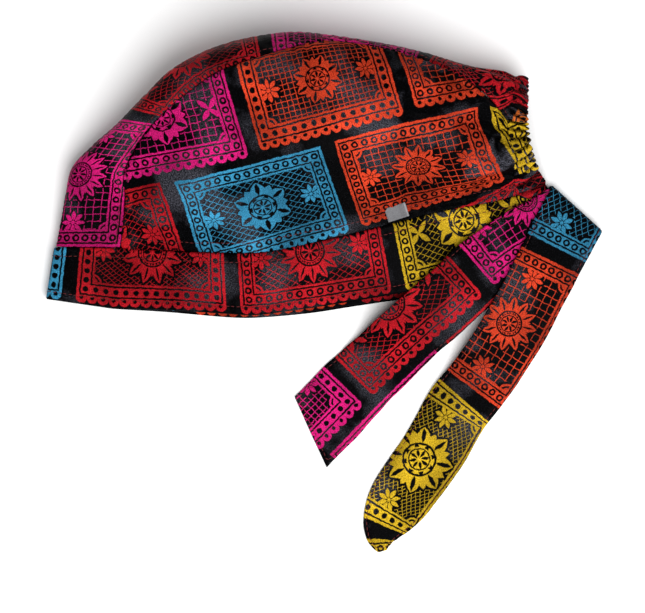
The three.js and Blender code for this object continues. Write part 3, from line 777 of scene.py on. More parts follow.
def left_panel(sizes):
    stations = crown_stations(PANEL_CORNER, PANEL_ROWS)
    grid, flat = panel_grid(stations, PANEL_COLUMNS, False, panel_start)
    away = from_casing(grid)
    cloth = Cloth(grid, flat, facing=-1)
    design = grid.copy()
    last = half_section(LAST_STATION, False)
    run = panel_runs(last, last.panel_from + SEAM_START, PANEL_COLUMNS)[None, :]
    from_seam = np.linalg.norm(grid - grid[:, :1], axis=-1)
    from_edge = np.minimum(from_seam, np.linalg.norm(grid - grid[:, -1:], axis=-1))
    inside = smooth(0, 3.0, from_edge)
    # Ripples are finer where the columns run together at the brow, so they are lower there
    calm = np.clip(from_seam[:, -1:] / CALM_WIDTH, 0, 1) ** 1.5
    cloth.lift(inside * (fold_lift(grid) + gather_lift(run, away, sizes)))
    ripples = soft_noise(grid.shape[:2], (5, 5), sizes.seed)
    long_ripples = soft_noise(grid.shape[:2], (16, 9), sizes.seed + 1)
    cloth.lift(inside * calm * (0.22 * ripples + 1.1 * long_ripples))
    cloth.lift(inside * calm * (1.6 * soft_noise(grid.shape[:2], (34, 22), sizes.seed + 9)))
    cloth.lift(inside * calm * seam_pucker(from_casing(grid), from_seam))
    near_seam = np.exp(-from_edge / 6.0)
    gathered = np.exp(-away / (sizes.pucker_reach / MM))
    along = sizes.slack * calm * (0.6 + 1.8 * near_seam)
    across = sizes.slack * calm * (0.6 + 4.0 * gathered)
    cloth.grid = settle(cloth.grid, along, across, edges_held(grid, -1), PANEL_ROUNDS)
    cloth.measure_raised(design)
    cloth.flat = grain(spread_cut(flat, flat[:, PANEL_COLUMNS // 2][:, None], away), GRAIN_TURN, LEFT_PRINT)
    cloth.from_band = np.linalg.norm(flat - flat[:, -1:], axis=-1)
    add_brow_corner(cloth)
    cloth.turn_in("first", SEAM_ROLL, SEAM_DEPTH)
    cloth.turn_in("last", SEAM_ROLL, SEAM_DEPTH)
    return cloth


def right_panel():
    def start(s, line):
        return min(far_seam_at(s) + SEAM_GAP / 2 + SEAM_START, line.length - 3)

    grid, flat = panel_grid(crown_stations(PANEL_CORNER, 110), 60, True, start)
    return Cloth(grid, grain(flat, GRAIN_TURN, RIGHT_PRINT))


def centre_strip(sizes):
    grid, arounds = [], []
    near_columns, far_columns = 40, 26
    for s in crown_stations(STRIP_CORNER, PANEL_ROWS):
        near, far = half_section(s, False), half_section(s, True)
        near_end = max(near.seam_at - SEAM_GAP / 2 - SEAM_START, 0.5)
        far_end = min(far_seam_at(s) - SEAM_GAP / 2 - SEAM_START, far.length - 3.4)
        upper = near_end * (1 - crowded(near_columns, 0.3))
        lower = far_end * crowded(far_columns, 0.2)[1:]
        grid.append(np.concatenate([near.at(upper), far.at(lower)]))
        arounds.append(np.concatenate([upper, -lower]))
    grid, arounds = np.array(grid), np.array(arounds)
    rim = grid[:, near_columns]
    along = Line(rim).distances
    away = from_casing(grid)
    flat = np.stack([np.broadcast_to(along[:, None], arounds.shape), arounds], axis=-1)
    cloth = Cloth(grid, flat)
    design = grid.copy()
    columns = np.arange(grid.shape[1])
    fade = np.minimum(1, columns / 6) * np.clip(1 - (columns - near_columns) / 12, 0, 1)
    cloth.lift(fade * (fold_lift(grid) + gather_lift(arounds[-1:], away, sizes)))
    ripples = soft_noise(grid.shape[:2], (9, 5), sizes.seed + 2)
    cloth.lift(fade * (0.7 * ripples + seam_pucker(away, np.abs(arounds[:, :1] - arounds))))
    near_seam = np.exp(-np.linalg.norm(grid - grid[:, :1], axis=-1) / 6.0)
    gathered = np.exp(-away / (sizes.pucker_reach / MM))
    slack_along = sizes.slack * (0.5 + 2.0 * near_seam) * fade
    slack_across = sizes.slack * (0.5 + 4.0 * gathered) * fade
    held = edges_held(grid, near_columns + 8)
    cloth.grid = settle(cloth.grid, slack_along, slack_across, held, STRIP_ROUNDS)
    cloth.measure_raised(design)
    cloth.flat = grain(spread_cut(flat, flat * (1, 0), away), 0.0, STRIP_PRINT)
    cloth.from_seam = arounds[:, :1] - arounds
    cloth.turn_in("first", SEAM_ROLL, SEAM_DEPTH)
    return cloth


# Brow band


def band_edge(rows, fold_x, fold_y, end_x, far):
    """Top or bottom edge of one layer of the band, from the brow fold to its end."""
    first_x = rows["x"][0]
    rest_z = FLOOR_BAND_Z if far else rows["z"][0]
    first_y = rows["farY" if far else "y"][0]
    reach = BROW_FOLD["farReach"] if far else first_x - fold_x
    runs = shoulder_steps(reach, 24)
    fold = np.column_stack([
        fold_x + runs,
        fold_y + (first_y - fold_y) * runs / (first_x - fold_x),
        BROW_FOLD["z"] + (rest_z - BROW_FOLD["z"]) * superellipse(runs / reach),
    ])
    x = np.linspace(fold_x + reach, end_x, 121)[1:]
    t = np.minimum((x - fold_x) / (first_x - fold_x), 1)
    y = np.where(t < 1, fold_y + (first_y - fold_y) * t, curve(rows, "x", "farY" if far else "y", x))
    z = np.full(len(x), FLOOR_BAND_Z) if far else curve(rows, "x", "z", x)
    return Line(np.concatenate([fold, np.column_stack([x, y, z])]))


def hem(distance, roll, wall, flattest):
    """Thickness near a folded edge: round at the fold, full from a roll's width inwards."""
    t = np.clip(distance / roll, 0, 1)
    return wall * np.maximum(np.sqrt(1 - (1 - t) ** 2), flattest)


def seam_groove(distance, depth, width):
    """The dent that a line of stitches pulls into the cloth."""
    return -depth * np.exp(-((distance / width) ** 2))


BAND_TOP_STITCH = 3.4
BAND_BOTTOM_STITCH = 4.5
BAND_JOIN_X = -74.5
PANEL_STITCH = 6.0
STRIP_STITCH = 1.8


def brow_band(sizes):
    halves = [
        [
            band_edge(rows, BROW_FOLD[side + "X"], BROW_FOLD[side + "Y"], end[side + "X"], far)
            for rows, side in ((BAND_TOP, "top"), (BAND_BOTTOM, "bottom"))
        ]
        for far, end in ((False, NEAR_BAND_END), (True, FAR_BAND_END))
    ]
    near_fold = 0.14
    steps, far_steps = (
        np.concatenate([
            near_fold * np.linspace(0, 1, fine) ** 1.6,
            np.linspace(near_fold, 1, coarse)[1:],
        ])
        for fine, coarse in ((41, 261), (25, 81))
    )
    across = crowded(38, 0.4)[:, None]
    grid = []
    for (top, bottom), ts in zip(halves, (steps[1:][::-1], far_steps)):
        for t in ts:
            a, b = top.at(top.length * t), bottom.at(bottom.length * t)
            first = 1.5 / max(np.linalg.norm(b - a), 1)
            grid.append(a + (b - a) * (first + (1 - first) * across))
    grid = np.array(grid)
    middle = Line(grid[:, grid.shape[1] // 2])
    from_top = distances(grid, 1)
    from_bottom = from_top[:, -1:] - from_top
    along = np.broadcast_to(middle.distances[:, None], from_top.shape)
    cloth = Cloth(grid, np.stack([-along, from_bottom], axis=-1))
    near_rows = len(steps) - 1
    fade = np.clip((near_rows - np.arange(len(grid))) / 14, 0, 1)[:, None]
    over = smooth(0, 6, from_top) * smooth(0, 9, from_bottom)
    slow = np.sin(along / 5.1 + 1.4 * np.sin(along / 23.0)) * (0.4 + 0.6 * np.sin(along / 37.0) ** 2)
    cloth.lift(fade * over * 0.55 * slow)
    pucker = ripple(along, 6.1, 2, 9.0)
    near_stitch = np.exp(-((from_bottom - BAND_BOTTOM_STITCH) / 4.0) ** 2)
    near_stitch += np.exp(-((from_top - BAND_TOP_STITCH) / 3.0) ** 2)
    cloth.lift(fade * 0.22 * pucker * near_stitch * smooth(0, 1.5, from_bottom))
    cloth.lift(fade * 0.35 * soft_noise(grid.shape[:2], (7, 6), sizes.seed + 4) * over)
    cloth.lift(fade * seam_groove(from_bottom - BAND_BOTTOM_STITCH, 0.35, 0.8))
    cloth.lift(fade * seam_groove(from_top - BAND_TOP_STITCH, 0.3, 0.7))
    cloth.from_top, cloth.from_bottom, cloth.near_rows = from_top, from_bottom, near_rows
    cloth.turn_in("first", 0.8, SEAM_DEPTH)
    return cloth


# Ties


def laid_flat(tie, inward, along, aside):
    """A tie's cloth in the plane of its lower layer. Before the fold it comes round in a slow curve."""
    turn = math.radians(tie["start_turn"])
    straight = along[..., None] * inward + aside[..., None] * left_of(inward)
    if turn == 0:
        return straight
    radius = abs(tie["start"] / turn)
    angle = along / tie["start"] * turn
    heading, chord = (
        np.stack([inward[0] * c - inward[1] * s, inward[0] * s + inward[1] * c], axis=-1)
        for c, s in ((np.cos(a), np.sin(a)) for a in (angle, angle / 2))
    )
    curved = -2 * radius * np.abs(np.sin(angle / 2))[..., None] * chord
    curved = curved + left_of(heading) * aside[..., None]
    return np.where((along < 0)[..., None], curved, straight)


def tie_points(tie, along, aside):
    """A tie's flat cloth, along and aside of its centre line from the fold, laid out in space."""
    rows, fold = tie["out"], tie["fold"]
    outward = left_of(way(fold["direction"]))
    outward = outward if outward[0] >= 0 else -outward
    place = np.array([fold["x"], fold["y"]])
    out = unit(np.array([rows["x"][1] - rows["x"][0], rows["y"][1] - rows["y"][0]]))
    inward = out - 2 * (out @ outward) * outward
    radius = fold["radius"]
    bend = math.pi * radius
    # A slanting fold shifts the cloth sideways as it goes round
    sideways = left_of(out) * (-bend * (outward @ left_of(out)))
    flat = laid_flat(tie, inward, along, aside) + sideways
    past = flat @ outward
    angle = np.clip(past / radius, 0, math.pi)
    under = np.concatenate([place + flat, np.full((*along.shape, 1), tie["lower_z"])], axis=-1)
    turned = place + flat + outward * (radius * np.sin(angle) - past)[..., None]
    turned_z = tie["lower_z"] + radius * (1 - np.cos(angle))
    over = flat + outward * (bend - 2 * past)[..., None]
    run, before = np.maximum(over @ out, 0), np.minimum(over @ out, 0)
    side = over @ left_of(out)
    read = lambda column, at: curve(rows, "along", column, at)
    ahead = unit(np.stack([read(c, run + 0.5) - read(c, run - 0.5) for c in ("x", "y")], axis=-1))
    left = left_of(ahead)
    above = np.stack([
        read("x", run) + left[..., 0] * side + out[0] * before,
        read("y", run) + left[..., 1] * side + out[1] * before,
        np.maximum(read("z", run) + read("lean", run) * side, FLOOR_TIE_Z),
    ], axis=-1)
    round_fold = np.concatenate([turned, turned_z[..., None]], axis=-1)
    return np.where(
        (past <= 0)[..., None], under, np.where((past <= bend)[..., None], round_fold, above)
    )


TIE_STITCH = 2.1


def tie_cloth(tie, seed):
    rows = tie["out"]
    bend = math.pi * tie["fold"]["radius"]
    length = rows["along"][-1] + bend - tie["trim"]
    fine_end = bend + 46
    runs = np.concatenate([
        np.linspace(tie["start"], fine_end, 150),
        np.linspace(fine_end, length, 230)[1:],
    ])
    halves = np.where(runs < bend + 6, tie["half"], curve(rows, "along", "half", runs - bend))
    scallops = soft_noise((len(runs), 2), (7, 0), seed + 20)[:, 0]
    halves = halves + 0.55 * scallops * smooth(bend + 8, bend + 24, runs)
    v = 2 * crowded(44, 0.5) - 1
    aside = halves[:, None] * v[None, :]
    slant = tie["end_slant"] * smooth(bend + 6, length, runs)
    along = runs[:, None] + slant[:, None] * aside
    grid = tie_points(tie, along, aside)
    cloth = Cloth(grid, np.stack([along, aside], axis=-1))
    upper = along > bend + 8
    if cloth.outward()[upper][:, 2].mean() < 0:
        cloth.facing = -1
    from_end = np.maximum(length - runs, 0)[:, None]
    cloth.from_edge = np.minimum(halves[:, None] - np.abs(aside), from_end)
    cloth.runs, cloth.bend = runs, bend
    free = smooth(bend + 4, bend + 20, along)
    over = smooth(0, 5, cloth.from_edge)
    slow = soft_noise(grid.shape[:2], (26, 10), seed)
    cloth.lift(free * over * (0.5 + 0.55 * slow))
    pucker = ripple(along, 6.4, 2, 8.0, np.sign(aside))
    beside = np.exp(-(((cloth.from_edge - TIE_STITCH) / 2.6) ** 2))
    cloth.lift(free * 0.16 * (1 + pucker) * beside * smooth(0, 1.2, cloth.from_edge))
    cloth.lift(free * seam_groove(cloth.from_edge - TIE_STITCH, 0.28, 0.6))
    cloth.flat = grain(cloth.flat, 0.0, tie["print"])
    cloth.aside, cloth.halves, cloth.last_run = aside, halves, length
    return cloth


def tie_edge_line(cloth, wall):
    """The line of stitches round a tie's free part, down one side, over its end and up the other."""
    inside = (cloth.runs > cloth.bend) & (cloth.runs < cloth.last_run - TIE_STITCH) & (
        cloth.halves > 1.6 * TIE_STITCH
    )
    rows = np.flatnonzero(inside)
    shown = slice(rows[0], rows[-1] + 1)
    sides = [
        level_line(cloth, cloth.aside, side * (cloth.halves - TIE_STITCH), wall, shown)
        for side in (1, -1)
    ]
    end = rows[-1]
    reach = cloth.halves[end] - TIE_STITCH
    columns = np.flatnonzero(np.abs(cloth.aside[end]) < reach)[::-1]
    normal = cloth.outward()[end, columns]
    across = (cloth.grid[end, columns] + normal * wall / 2, normal)
    return tuple(
        np.concatenate([sides[0][k], across[k], sides[1][k][::-1]]) for k in (0, 1)
    )


# Back casing

CASING_ENDS = (1.04, 0.97)
CASING_SHADE = 7.5
CASING_SHADE_MOST = 2.0
PLEATS_SPREAD = 0.5


def casing_edges(t, far):
    """Front and back edge of the casing at a share of the way from the rim to the band."""
    section = half_section(LAST_STATION, far)
    front = section.at(section.length * t)
    read = lambda column: curve(CASING_BACK, "at", column, t)
    z = np.maximum(front[:, 2], CASING_EDGE / 2) if far else read("z")
    back = np.column_stack([read("farX" if far else "x"), read("farY" if far else "y"), z])
    past = (np.maximum(t - 1, 0) * section.length)[:, None] * np.array([0.45, -0.89, -0.3])
    across = unit(back - front)
    front = front + past - across * 0.5
    front[:, 2] = np.maximum(front[:, 2], CASING_EDGE / 2)
    return front, back + past, section.length * t * (-1 if far else 1)


def casing_cut(runs, places, inwards):
    """The print goes on from the panel and the strip, and turns in over the casing's back edge."""
    line = half_section(LAST_STATION, False)
    middle_run = np.mean(panel_runs(line, line.panel_from + SEAM_START, PANEL_COLUMNS))
    middle = panel_cut(line, np.array([middle_run]))
    cut = middle + (panel_cut(line, places) - middle) * GATHER
    onward = -left_of(line.way)
    panel = grain(cut + onward * inwards[..., None], GRAIN_TURN, LEFT_PRINT)
    rim = [half_section(s, False).at(0.0) for s in crown_stations(STRIP_CORNER, PANEL_ROWS)]
    strip = np.stack([Line(rim).length + inwards, places * GATHER], axis=-1)
    strip = grain(strip, 0.0, STRIP_PRINT)
    return np.where((runs > line.seam_at)[:, None, None], panel, strip)


def back_casing(sizes):
    """A gathered tube round the back opening, from the band over the rim and down underneath."""
    near = casing_edges(np.linspace(CASING_ENDS[0], 0, 351), False)
    far = casing_edges(np.linspace(0, CASING_ENDS[1], 151)[1:], True)
    front, back, runs = (np.concatenate(pair) for pair in zip(near, far))
    middle = (front + back) / 2
    middle[:, 2] = np.maximum(middle[:, 2], CASING_MIDDLE / 2)
    across = unit(back - front)
    out = unit(np.cross(across, unit(np.gradient(middle, axis=0))))
    ring = 38
    w = np.arange(ring) * 2 * math.pi / ring
    x = -np.cos(w)
    share = (x + 1) / 2
    half = (CASING_EDGE + (CASING_MIDDLE - CASING_EDGE) * (1 - x**2)) / 2
    rise = np.sign(np.sin(w)) * np.abs(np.sin(w)) ** 0.6 * half
    rise = rise - 0.35 * np.exp(-(((x + 0.72) / 0.14) ** 2)) * (rise > 0)
    height, pitch = sizes.pleat_height / MM, sizes.pleat_pitch / MM
    run = runs[:, None]
    # Pleats are wider and higher towards the band, where the elastic pulls most
    pull_at = lambda value: smooth(20, 42, value)
    pulled = pull_at(run)
    height = height * (0.72 + 0.95 * pulled)
    spread = 1 - PLEATS_SPREAD * pulled
    steps = np.arange(0, 120, 0.25)
    spread_run = np.cumsum(1 - PLEATS_SPREAD * pull_at(steps)) * 0.25
    run = np.where(run > 0, np.interp(run, steps, spread_run), run)
    lean = 0.5 * np.sin(run / 6.3) * (x[None, :] + 1)
    wave = pleats(run, pitch, lean, 1.25)
    fine = pleats(run, pitch / 2.1, 1.3 * lean + 0.4)
    low_side = np.clip((middle[:, 2] - CASING_MIDDLE) / 4, 0, 1)[:, None]
    follow = np.interp(x, [-1, 0, 1], [0.42, 1, 1.1])[None, :]
    shift = height * low_side * (wave * follow + 0.3 * fine * (rise > 0) * smooth(-1, -0.4, x))
    teeth = (0.3 + 0.7 * pulled) * wave + 0.22 * fine
    stick = low_side * smooth(0.2, 1, x) * teeth * (0.6 + 0.8 * pulled)
    base = front[:, None] + (middle - front)[:, None] * np.clip(2 * share, 0, 1)[None, :, None]
    base = base + (back - middle)[:, None] * np.clip(2 * share - 1, 0, 1)[None, :, None]
    points = base + out[:, None] * (rise[None, :] + shift)[..., None] + across[:, None] * stick[..., None]
    points[..., 2] = np.maximum(points[..., 2], LOWEST)
    width = np.linalg.norm(back - front, axis=-1)[:, None]
    inwards = width * np.where(w <= math.pi, share, 2 - share)[None, :]
    # The valleys swallow a bit of the cloth, so the print jumps from ridge to ridge
    count = pleat_count(run, pitch, lean)
    ridge = np.round(count)
    places = runs[:, None] - (1 - 1 / GATHER) * pitch / spread * (count - ridge)
    jogs = np.random.default_rng(sizes.seed + 3).uniform(-1.5, 1.5, 256)
    inwards = inwards + jogs[ridge.astype(int) % len(jogs)]
    # Height above the pleats' middle, scaled up so that the finish paints shade into the valleys and a
    # little light onto the crests
    raised = np.minimum(CASING_SHADE * (shift - 0.2), CASING_SHADE_MOST)
    return points, casing_cut(runs, places, inwards), raised


def tube(name, points, flat, raised, finish):
    """A closed tube of rings of points, with flat ends."""
    rows, ring = points.shape[:2]
    faces = grid_faces(rows, ring, closed=True)
    caps = []
    for row, turn in ((0, 1), (rows - 1, -1)):
        loop = np.arange(ring) + row * ring
        for k in range(ring // 2 - 1):
            caps.append([loop[k], loop[k + 1], loop[ring - 2 - k], loop[ring - 1 - k]][::turn])
    faces = np.concatenate([faces, np.array(caps)])
    centre = points.mean(axis=1)
    outside = np.cross(points[10, 1] - points[10, 0], points[11, 0] - points[10, 0])
    if outside @ (points[10, 0] - centre[10]) > 0:
        faces = faces[:, ::-1]
    obj = new_object(name, points.reshape(-1, 3), faces)
    add_flat_map(obj, flat.reshape(-1, 2), raised.ravel())
    obj.data.materials.append(finish)
    return obj


# Side tab


def side_tab(panel):
    """A bit of tape folded over on itself, lying on the left panel above the band."""
    turn = TAB["turn"]
    along = np.array([math.cos(turn), math.sin(turn), 0.0])
    up = np.array([-along[1], along[0], 0.0])
    middle = np.array([TAB["x"], TAB["y"], 0.0])
    gap, reach = 0.55, TAB["length"] / 2
    fold = np.radians(np.linspace(-90, 90, 9))
    lower = np.column_stack([np.linspace(-reach, reach - gap, 13), np.full(13, 0.0)])
    bend = np.column_stack([reach - gap + gap * np.cos(fold), gap * (1 + np.sin(fold))])[1:-1]
    upper = np.column_stack([np.linspace(reach - gap, -reach, 13), np.full(13, 2 * gap)])
    path = np.concatenate([lower, bend, upper])
    path[:, 1] *= np.interp(path[:, 0], [-reach, -reach + 3, reach], [0.45, 0.9, 1.0])
    aside = np.linspace(-0.5, 0.5, 11) * TAB["height"]
    grid = np.zeros((len(path), len(aside), 3))
    for i, (x, z) in enumerate(path):
        for j, y in enumerate(aside):
            point = middle + along * x + up * y
            above = (point * MM + SHIFT) + np.array([0, 0, 0.2])
            hit, place, _, _ = panel.ray_cast(above, (0, 0, -1))
            if not hit:
                raise RuntimeError("the tab has no panel under it")
            grid[i, j] = (*point[:2], place.z / MM + 0.3 + z)
    grid[..., 2] = grid[..., 2].mean(axis=1, keepdims=True) * 0.5 + grid[..., 2] * 0.5
    lengths = Line(grid[:, 5]).distances
    flat = np.stack(np.broadcast_arrays(lengths[:, None], aside[None, :]), axis=-1)
    return Cloth(grid, flat, facing=-1)


# Stitching


def level_line(cloth, values, level, wall, rows=slice(None), turned=False):
    """Points and normals on a cloth's printed side where a value reaches a level on each row.

    Turned, it reads down each column instead.
    """
    grid, out = cloth.grid[:, cloth.own], cloth.outward()[:, cloth.own]
    if turned:
        grid, out, values = (np.swapaxes(a, 0, 1) for a in (grid, out, values))
    levels = np.broadcast_to(level, len(values))
    points, normals = [], []
    for i in np.arange(len(values))[rows]:
        order = np.argsort(values[i])
        place, normal = (
            np.array([np.interp(levels[i], values[i][order], field[i][order, k]) for k in range(3)])
            for field in (grid, out)
        )
        points.append(place + unit(normal) * wall / 2)
        normals.append(unit(normal))
    return np.array(points), np.array(normals)


def stitch_tree():
    """Geometry nodes that lay stitches along the edges of a mesh, turned by its attribute up."""
    tree = bpy.data.node_groups.new("stitch_rows", "GeometryNodeTree")
    sockets = [
        ("Rows", "Geometry"), ("Pitch", "Float"), ("Length", "Float"), ("Thread", "Float"),
        ("Seed", "Int"), ("Thread material", "Material"),
    ]
    for label, kind in sockets:
        tree.interface.new_socket(label, in_out="INPUT", socket_type="NodeSocket" + kind)
    tree.interface.new_socket("Stitches", in_out="OUTPUT", socket_type="NodeSocketGeometry")
    given, result = tree.nodes.new("NodeGroupInput"), tree.nodes.new("NodeGroupOutput")
    given_wires = {label: Wire(tree, given.outputs[label]) for label, _ in sockets}
    node = lambda kind, settings=(), **inputs: add_node(tree, kind, settings, **inputs)
    out = lambda made, name=0: Wire(tree, made.outputs[name])
    rows = node("GeometryNodeMeshToCurve", Mesh=given_wires["Rows"])
    evenly = node(
        "GeometryNodeResampleCurve", {"mode": "LENGTH"}, Curve=out(rows), Length=given_wires["Pitch"]
    )
    bead = node("GeometryNodeMeshUVSphere", Segments=8, Rings=5, Radius=0.5)
    size = node(
        "ShaderNodeCombineXYZ", X=given_wires["Length"], Y=given_wires["Thread"], Z=given_wires["Thread"]
    )
    stitch = node("GeometryNodeTransform", Geometry=out(bead, "Mesh"), Scale=out(size))
    up = node("GeometryNodeInputNamedAttribute", {"data_type": "FLOAT_VECTOR"}, Name="up")
    tangent = node("GeometryNodeInputTangent")
    ahead = node("FunctionNodeAlignRotationToVector", {"axis": "X"}, Vector=out(tangent))
    turned = node(
        "FunctionNodeAlignRotationToVector", {"axis": "Z", "pivot_axis": "X"},
        Rotation=out(ahead), Vector=out(up),
    )
    sway = node("FunctionNodeRandomValue", {"data_type": "FLOAT_VECTOR"}, Seed=given_wires["Seed"])
    sway.inputs[0].default_value = (0.0, -0.04, -0.14)
    sway.inputs[1].default_value = (0.0, 0.04, 0.14)
    swayed = node(
        "FunctionNodeRotateRotation", {"rotation_space": "LOCAL"}, Rotation=out(turned)
    )
    angles = node("FunctionNodeEulerToRotation", Euler=out(sway))
    tree.links.new(angles.outputs[0], swayed.inputs["Rotate By"])
    placed = node(
        "GeometryNodeInstanceOnPoints", Points=out(evenly), Instance=out(stitch), Rotation=out(swayed)
    )
    real = node("GeometryNodeRealizeInstances", Geometry=out(placed))
    round_off = node("GeometryNodeSetShadeSmooth", Geometry=out(real))
    finish = node(
        "GeometryNodeSetMaterial", Geometry=out(round_off), Material=given_wires["Thread material"]
    )
    tree.links.new(finish.outputs[0], result.inputs[0])
    return tree


def thread_material(look):
    """Dark red thread, made once."""
    name = "dark_red_thread"
    if name not in bpy.data.materials:
        new_material(
            name, Base_Color=(*look.thread_colour, 1), Roughness=0.6, Specular_IOR_Level=0.15
        )
    return bpy.data.materials[name]


def stitches(name, lines, look, seed):
    """One object with a row of stitches along each line of points and normals."""
    points, normals = (np.concatenate([line[k] for line in lines]) for k in (0, 1))
    counts = np.cumsum([0] + [len(line[0]) for line in lines])
    edges = np.concatenate([
        np.column_stack([np.arange(a, b - 1), np.arange(a + 1, b)])
        for a, b in zip(counts[:-1], counts[1:])
    ])
    mesh = bpy.data.meshes.new(name)
    mesh.from_pydata((points * MM + SHIFT).tolist(), edges.tolist(), [])
    mesh.attributes.new("up", "FLOAT_VECTOR", "POINT").data.foreach_set(
        "vector", normals.astype(np.float32).ravel()
    )
    obj = bpy.data.objects.new(name, mesh)
    bpy.context.scene.collection.objects.link(obj)
    modifier = obj.modifiers.new("stitches", "NODES")
    tree = bpy.data.node_groups.get("stitch_rows") or stitch_tree()
    modifier.node_group = tree
    values = {
        "Pitch": look.pitch, "Length": look.length, "Thread": look.thread, "Seed": seed,
        "Thread material": thread_material(look),
    }
    for item in tree.interface.items_tree:
        if item.in_out == "INPUT" and item.name in values:
            modifier[item.identifier] = values[item.name]
    evaluated = obj.evaluated_get(bpy.context.evaluated_depsgraph_get())
    obj.data = bpy.data.meshes.new_from_object(evaluated)
    obj.modifiers.clear()
    bpy.data.meshes.remove(mesh)
    if len(obj.data.polygons) == 0:
        raise RuntimeError(f"{name} has no stitches")
    join_frame(obj, [])


# Materials


def new_material(name, **values):
    """A material, its node tree and its shader, with plain values on the shader's inputs."""
    material = bpy.data.materials.new(name)
    material.use_nodes = True
    shader = material.node_tree.nodes["Principled BSDF"]
    for label, value in values.items():
        shader.inputs[label.replace("_", " ")].default_value = value
    return material, material.node_tree, shader


class Wire:
    """A number in a shader tree, so that sums of them are written as sums."""

    def __init__(self, tree, socket):
        self.tree, self.socket = tree, socket

    def math(self, operation, *others, clamp=False):
        return math_node(self.tree, operation, self, *others, clamp=clamp)

    def __rsub__(self, other):
        return math_node(self.tree, "SUBTRACT", other, self)

    def __rtruediv__(self, other):
        return math_node(self.tree, "DIVIDE", other, self)

    def __neg__(self):
        return self.math("MULTIPLY", -1.0)

    def __abs__(self):
        return self.math("ABSOLUTE")

    def clamped(self):
        return self.math("ADD", 0.0, clamp=True)

    def square(self):
        return self.math("MULTIPLY", self)

    def from_cell(self, pitch):
        """Distance to the middle of the nearest of the cells that repeat with a pitch."""
        return abs((self / pitch).math("FRACT") - 0.5) * pitch


for method, operation in (
    ("__add__", "ADD"), ("__sub__", "SUBTRACT"), ("__mul__", "MULTIPLY"), ("__truediv__", "DIVIDE"),
    ("least", "MINIMUM"), ("most", "MAXIMUM"),
):
    setattr(Wire, method, lambda self, other, operation=operation: self.math(operation, other))


def math_node(tree, operation, *values, clamp=False):
    node = tree.nodes.new("ShaderNodeMath")
    node.operation = operation
    node.use_clamp = clamp
    for place, value in enumerate(values):
        join(tree, value, node.inputs[place])
    return Wire(tree, node.outputs[0])


def join(tree, value, socket):
    """Links a wire to a socket, or sets the socket to a plain value."""
    if isinstance(value, Wire):
        tree.links.new(value.socket, socket)
    else:
        socket.default_value = value


def add_node(tree, kind, settings=(), **inputs):
    """A shader node with its settings and its inputs, which are wires or plain values."""
    node = tree.nodes.new(kind)
    for name, value in dict(settings).items():
        setattr(node, name, value)
    for name, value in inputs.items():
        join(tree, value, node.inputs[name.replace("_", " ")])
    return node


def wire(tree, kind, output=0, settings=(), **inputs):
    """One output of a new node."""
    return Wire(tree, add_node(tree, kind, settings, **inputs).outputs[output])


def noise(tree, flat, scale, detail, output="Fac"):
    """Noise over the flat cloth."""
    settings = {"noise_dimensions": "2D"}
    return wire(tree, "ShaderNodeTexNoise", output, settings, Vector=flat, Scale=scale, Detail=detail)


def parts(tree, kind, value, count):
    """The first few parts of a colour or of a place, each a wire."""
    node = add_node(tree, kind)
    join(tree, value, node.inputs[0])
    return [Wire(tree, node.outputs[k]) for k in range(count)]


def in_millimetres(tree, flat):
    """The two directions of a place in the flat cloth."""
    return [side / MM for side in parts(tree, "ShaderNodeSeparateXYZ", flat, 2)]


def blend(tree, factor, first, second):
    """One colour turned into another by a factor. Both are wires or plain values."""
    node = add_node(tree, "ShaderNodeMix", {"data_type": "RGBA"}, Factor=factor)
    join(tree, first, node.inputs[6])
    join(tree, second, node.inputs[7])
    return Wire(tree, node.outputs[2])


def hypot(a, b):
    """Distance from two sides at right angles."""
    return (a.square() + b.square()).math("SQRT")


def new_group(name, inputs, outputs):
    """An empty shader group with named sockets."""
    tree = bpy.data.node_groups.new(name, "ShaderNodeTree")
    for in_out, sockets in (("INPUT", inputs), ("OUTPUT", outputs)):
        for label, kind, default in sockets:
            socket = tree.interface.new_socket(label, in_out=in_out, socket_type="NodeSocket" + kind)
            if default is not None:
                socket.default_value = default
    given, result = tree.nodes.new("NodeGroupInput"), tree.nodes.new("NodeGroupOutput")
    return tree, given, result


PETAL_INPUTS = ("Radius", "Angle", "Count", "Turn", "Out", "Length", "Width")


def flower_group():
    """Leaf-shaped petals round a middle: below 0 inside a petal, in millimetres outside it."""
    sockets = [(n, "Float", 0.0) for n in PETAL_INPUTS]
    tree, given, result = new_group("petals", sockets, [("Distance", "Float", None)])
    radius, angle, count, turn, out, length, width = (Wire(tree, given.outputs[n[0]]) for n in sockets)
    share = (angle * count / (2 * math.pi) + turn).math("FRACT") - 0.5
    bend = share * (2 * math.pi) / count
    along = (radius * bend.math("COSINE") - out) / length
    aside = abs(radius * bend.math("SINE"))
    join(tree, aside - width + width * along.square(), result.inputs["Distance"])
    return tree


def place_group(tree, group, *values):
    """A node of a group, with wires or plain values on its inputs."""
    node = tree.nodes.new("ShaderNodeGroup")
    node.node_tree = group
    for value, socket in zip(values, node.inputs):
        join(tree, value, socket)
    return node


def whole_pitch(length, about):
    """A pitch near a wanted one that fits a length a whole number of times."""
    return length / round(length / about)


def corner_pitch(reach, about):
    """A pitch near a wanted one whose cells, counted from the middle, end with one at the reach."""
    return reach / (round(reach / about - 0.5) + 0.5)


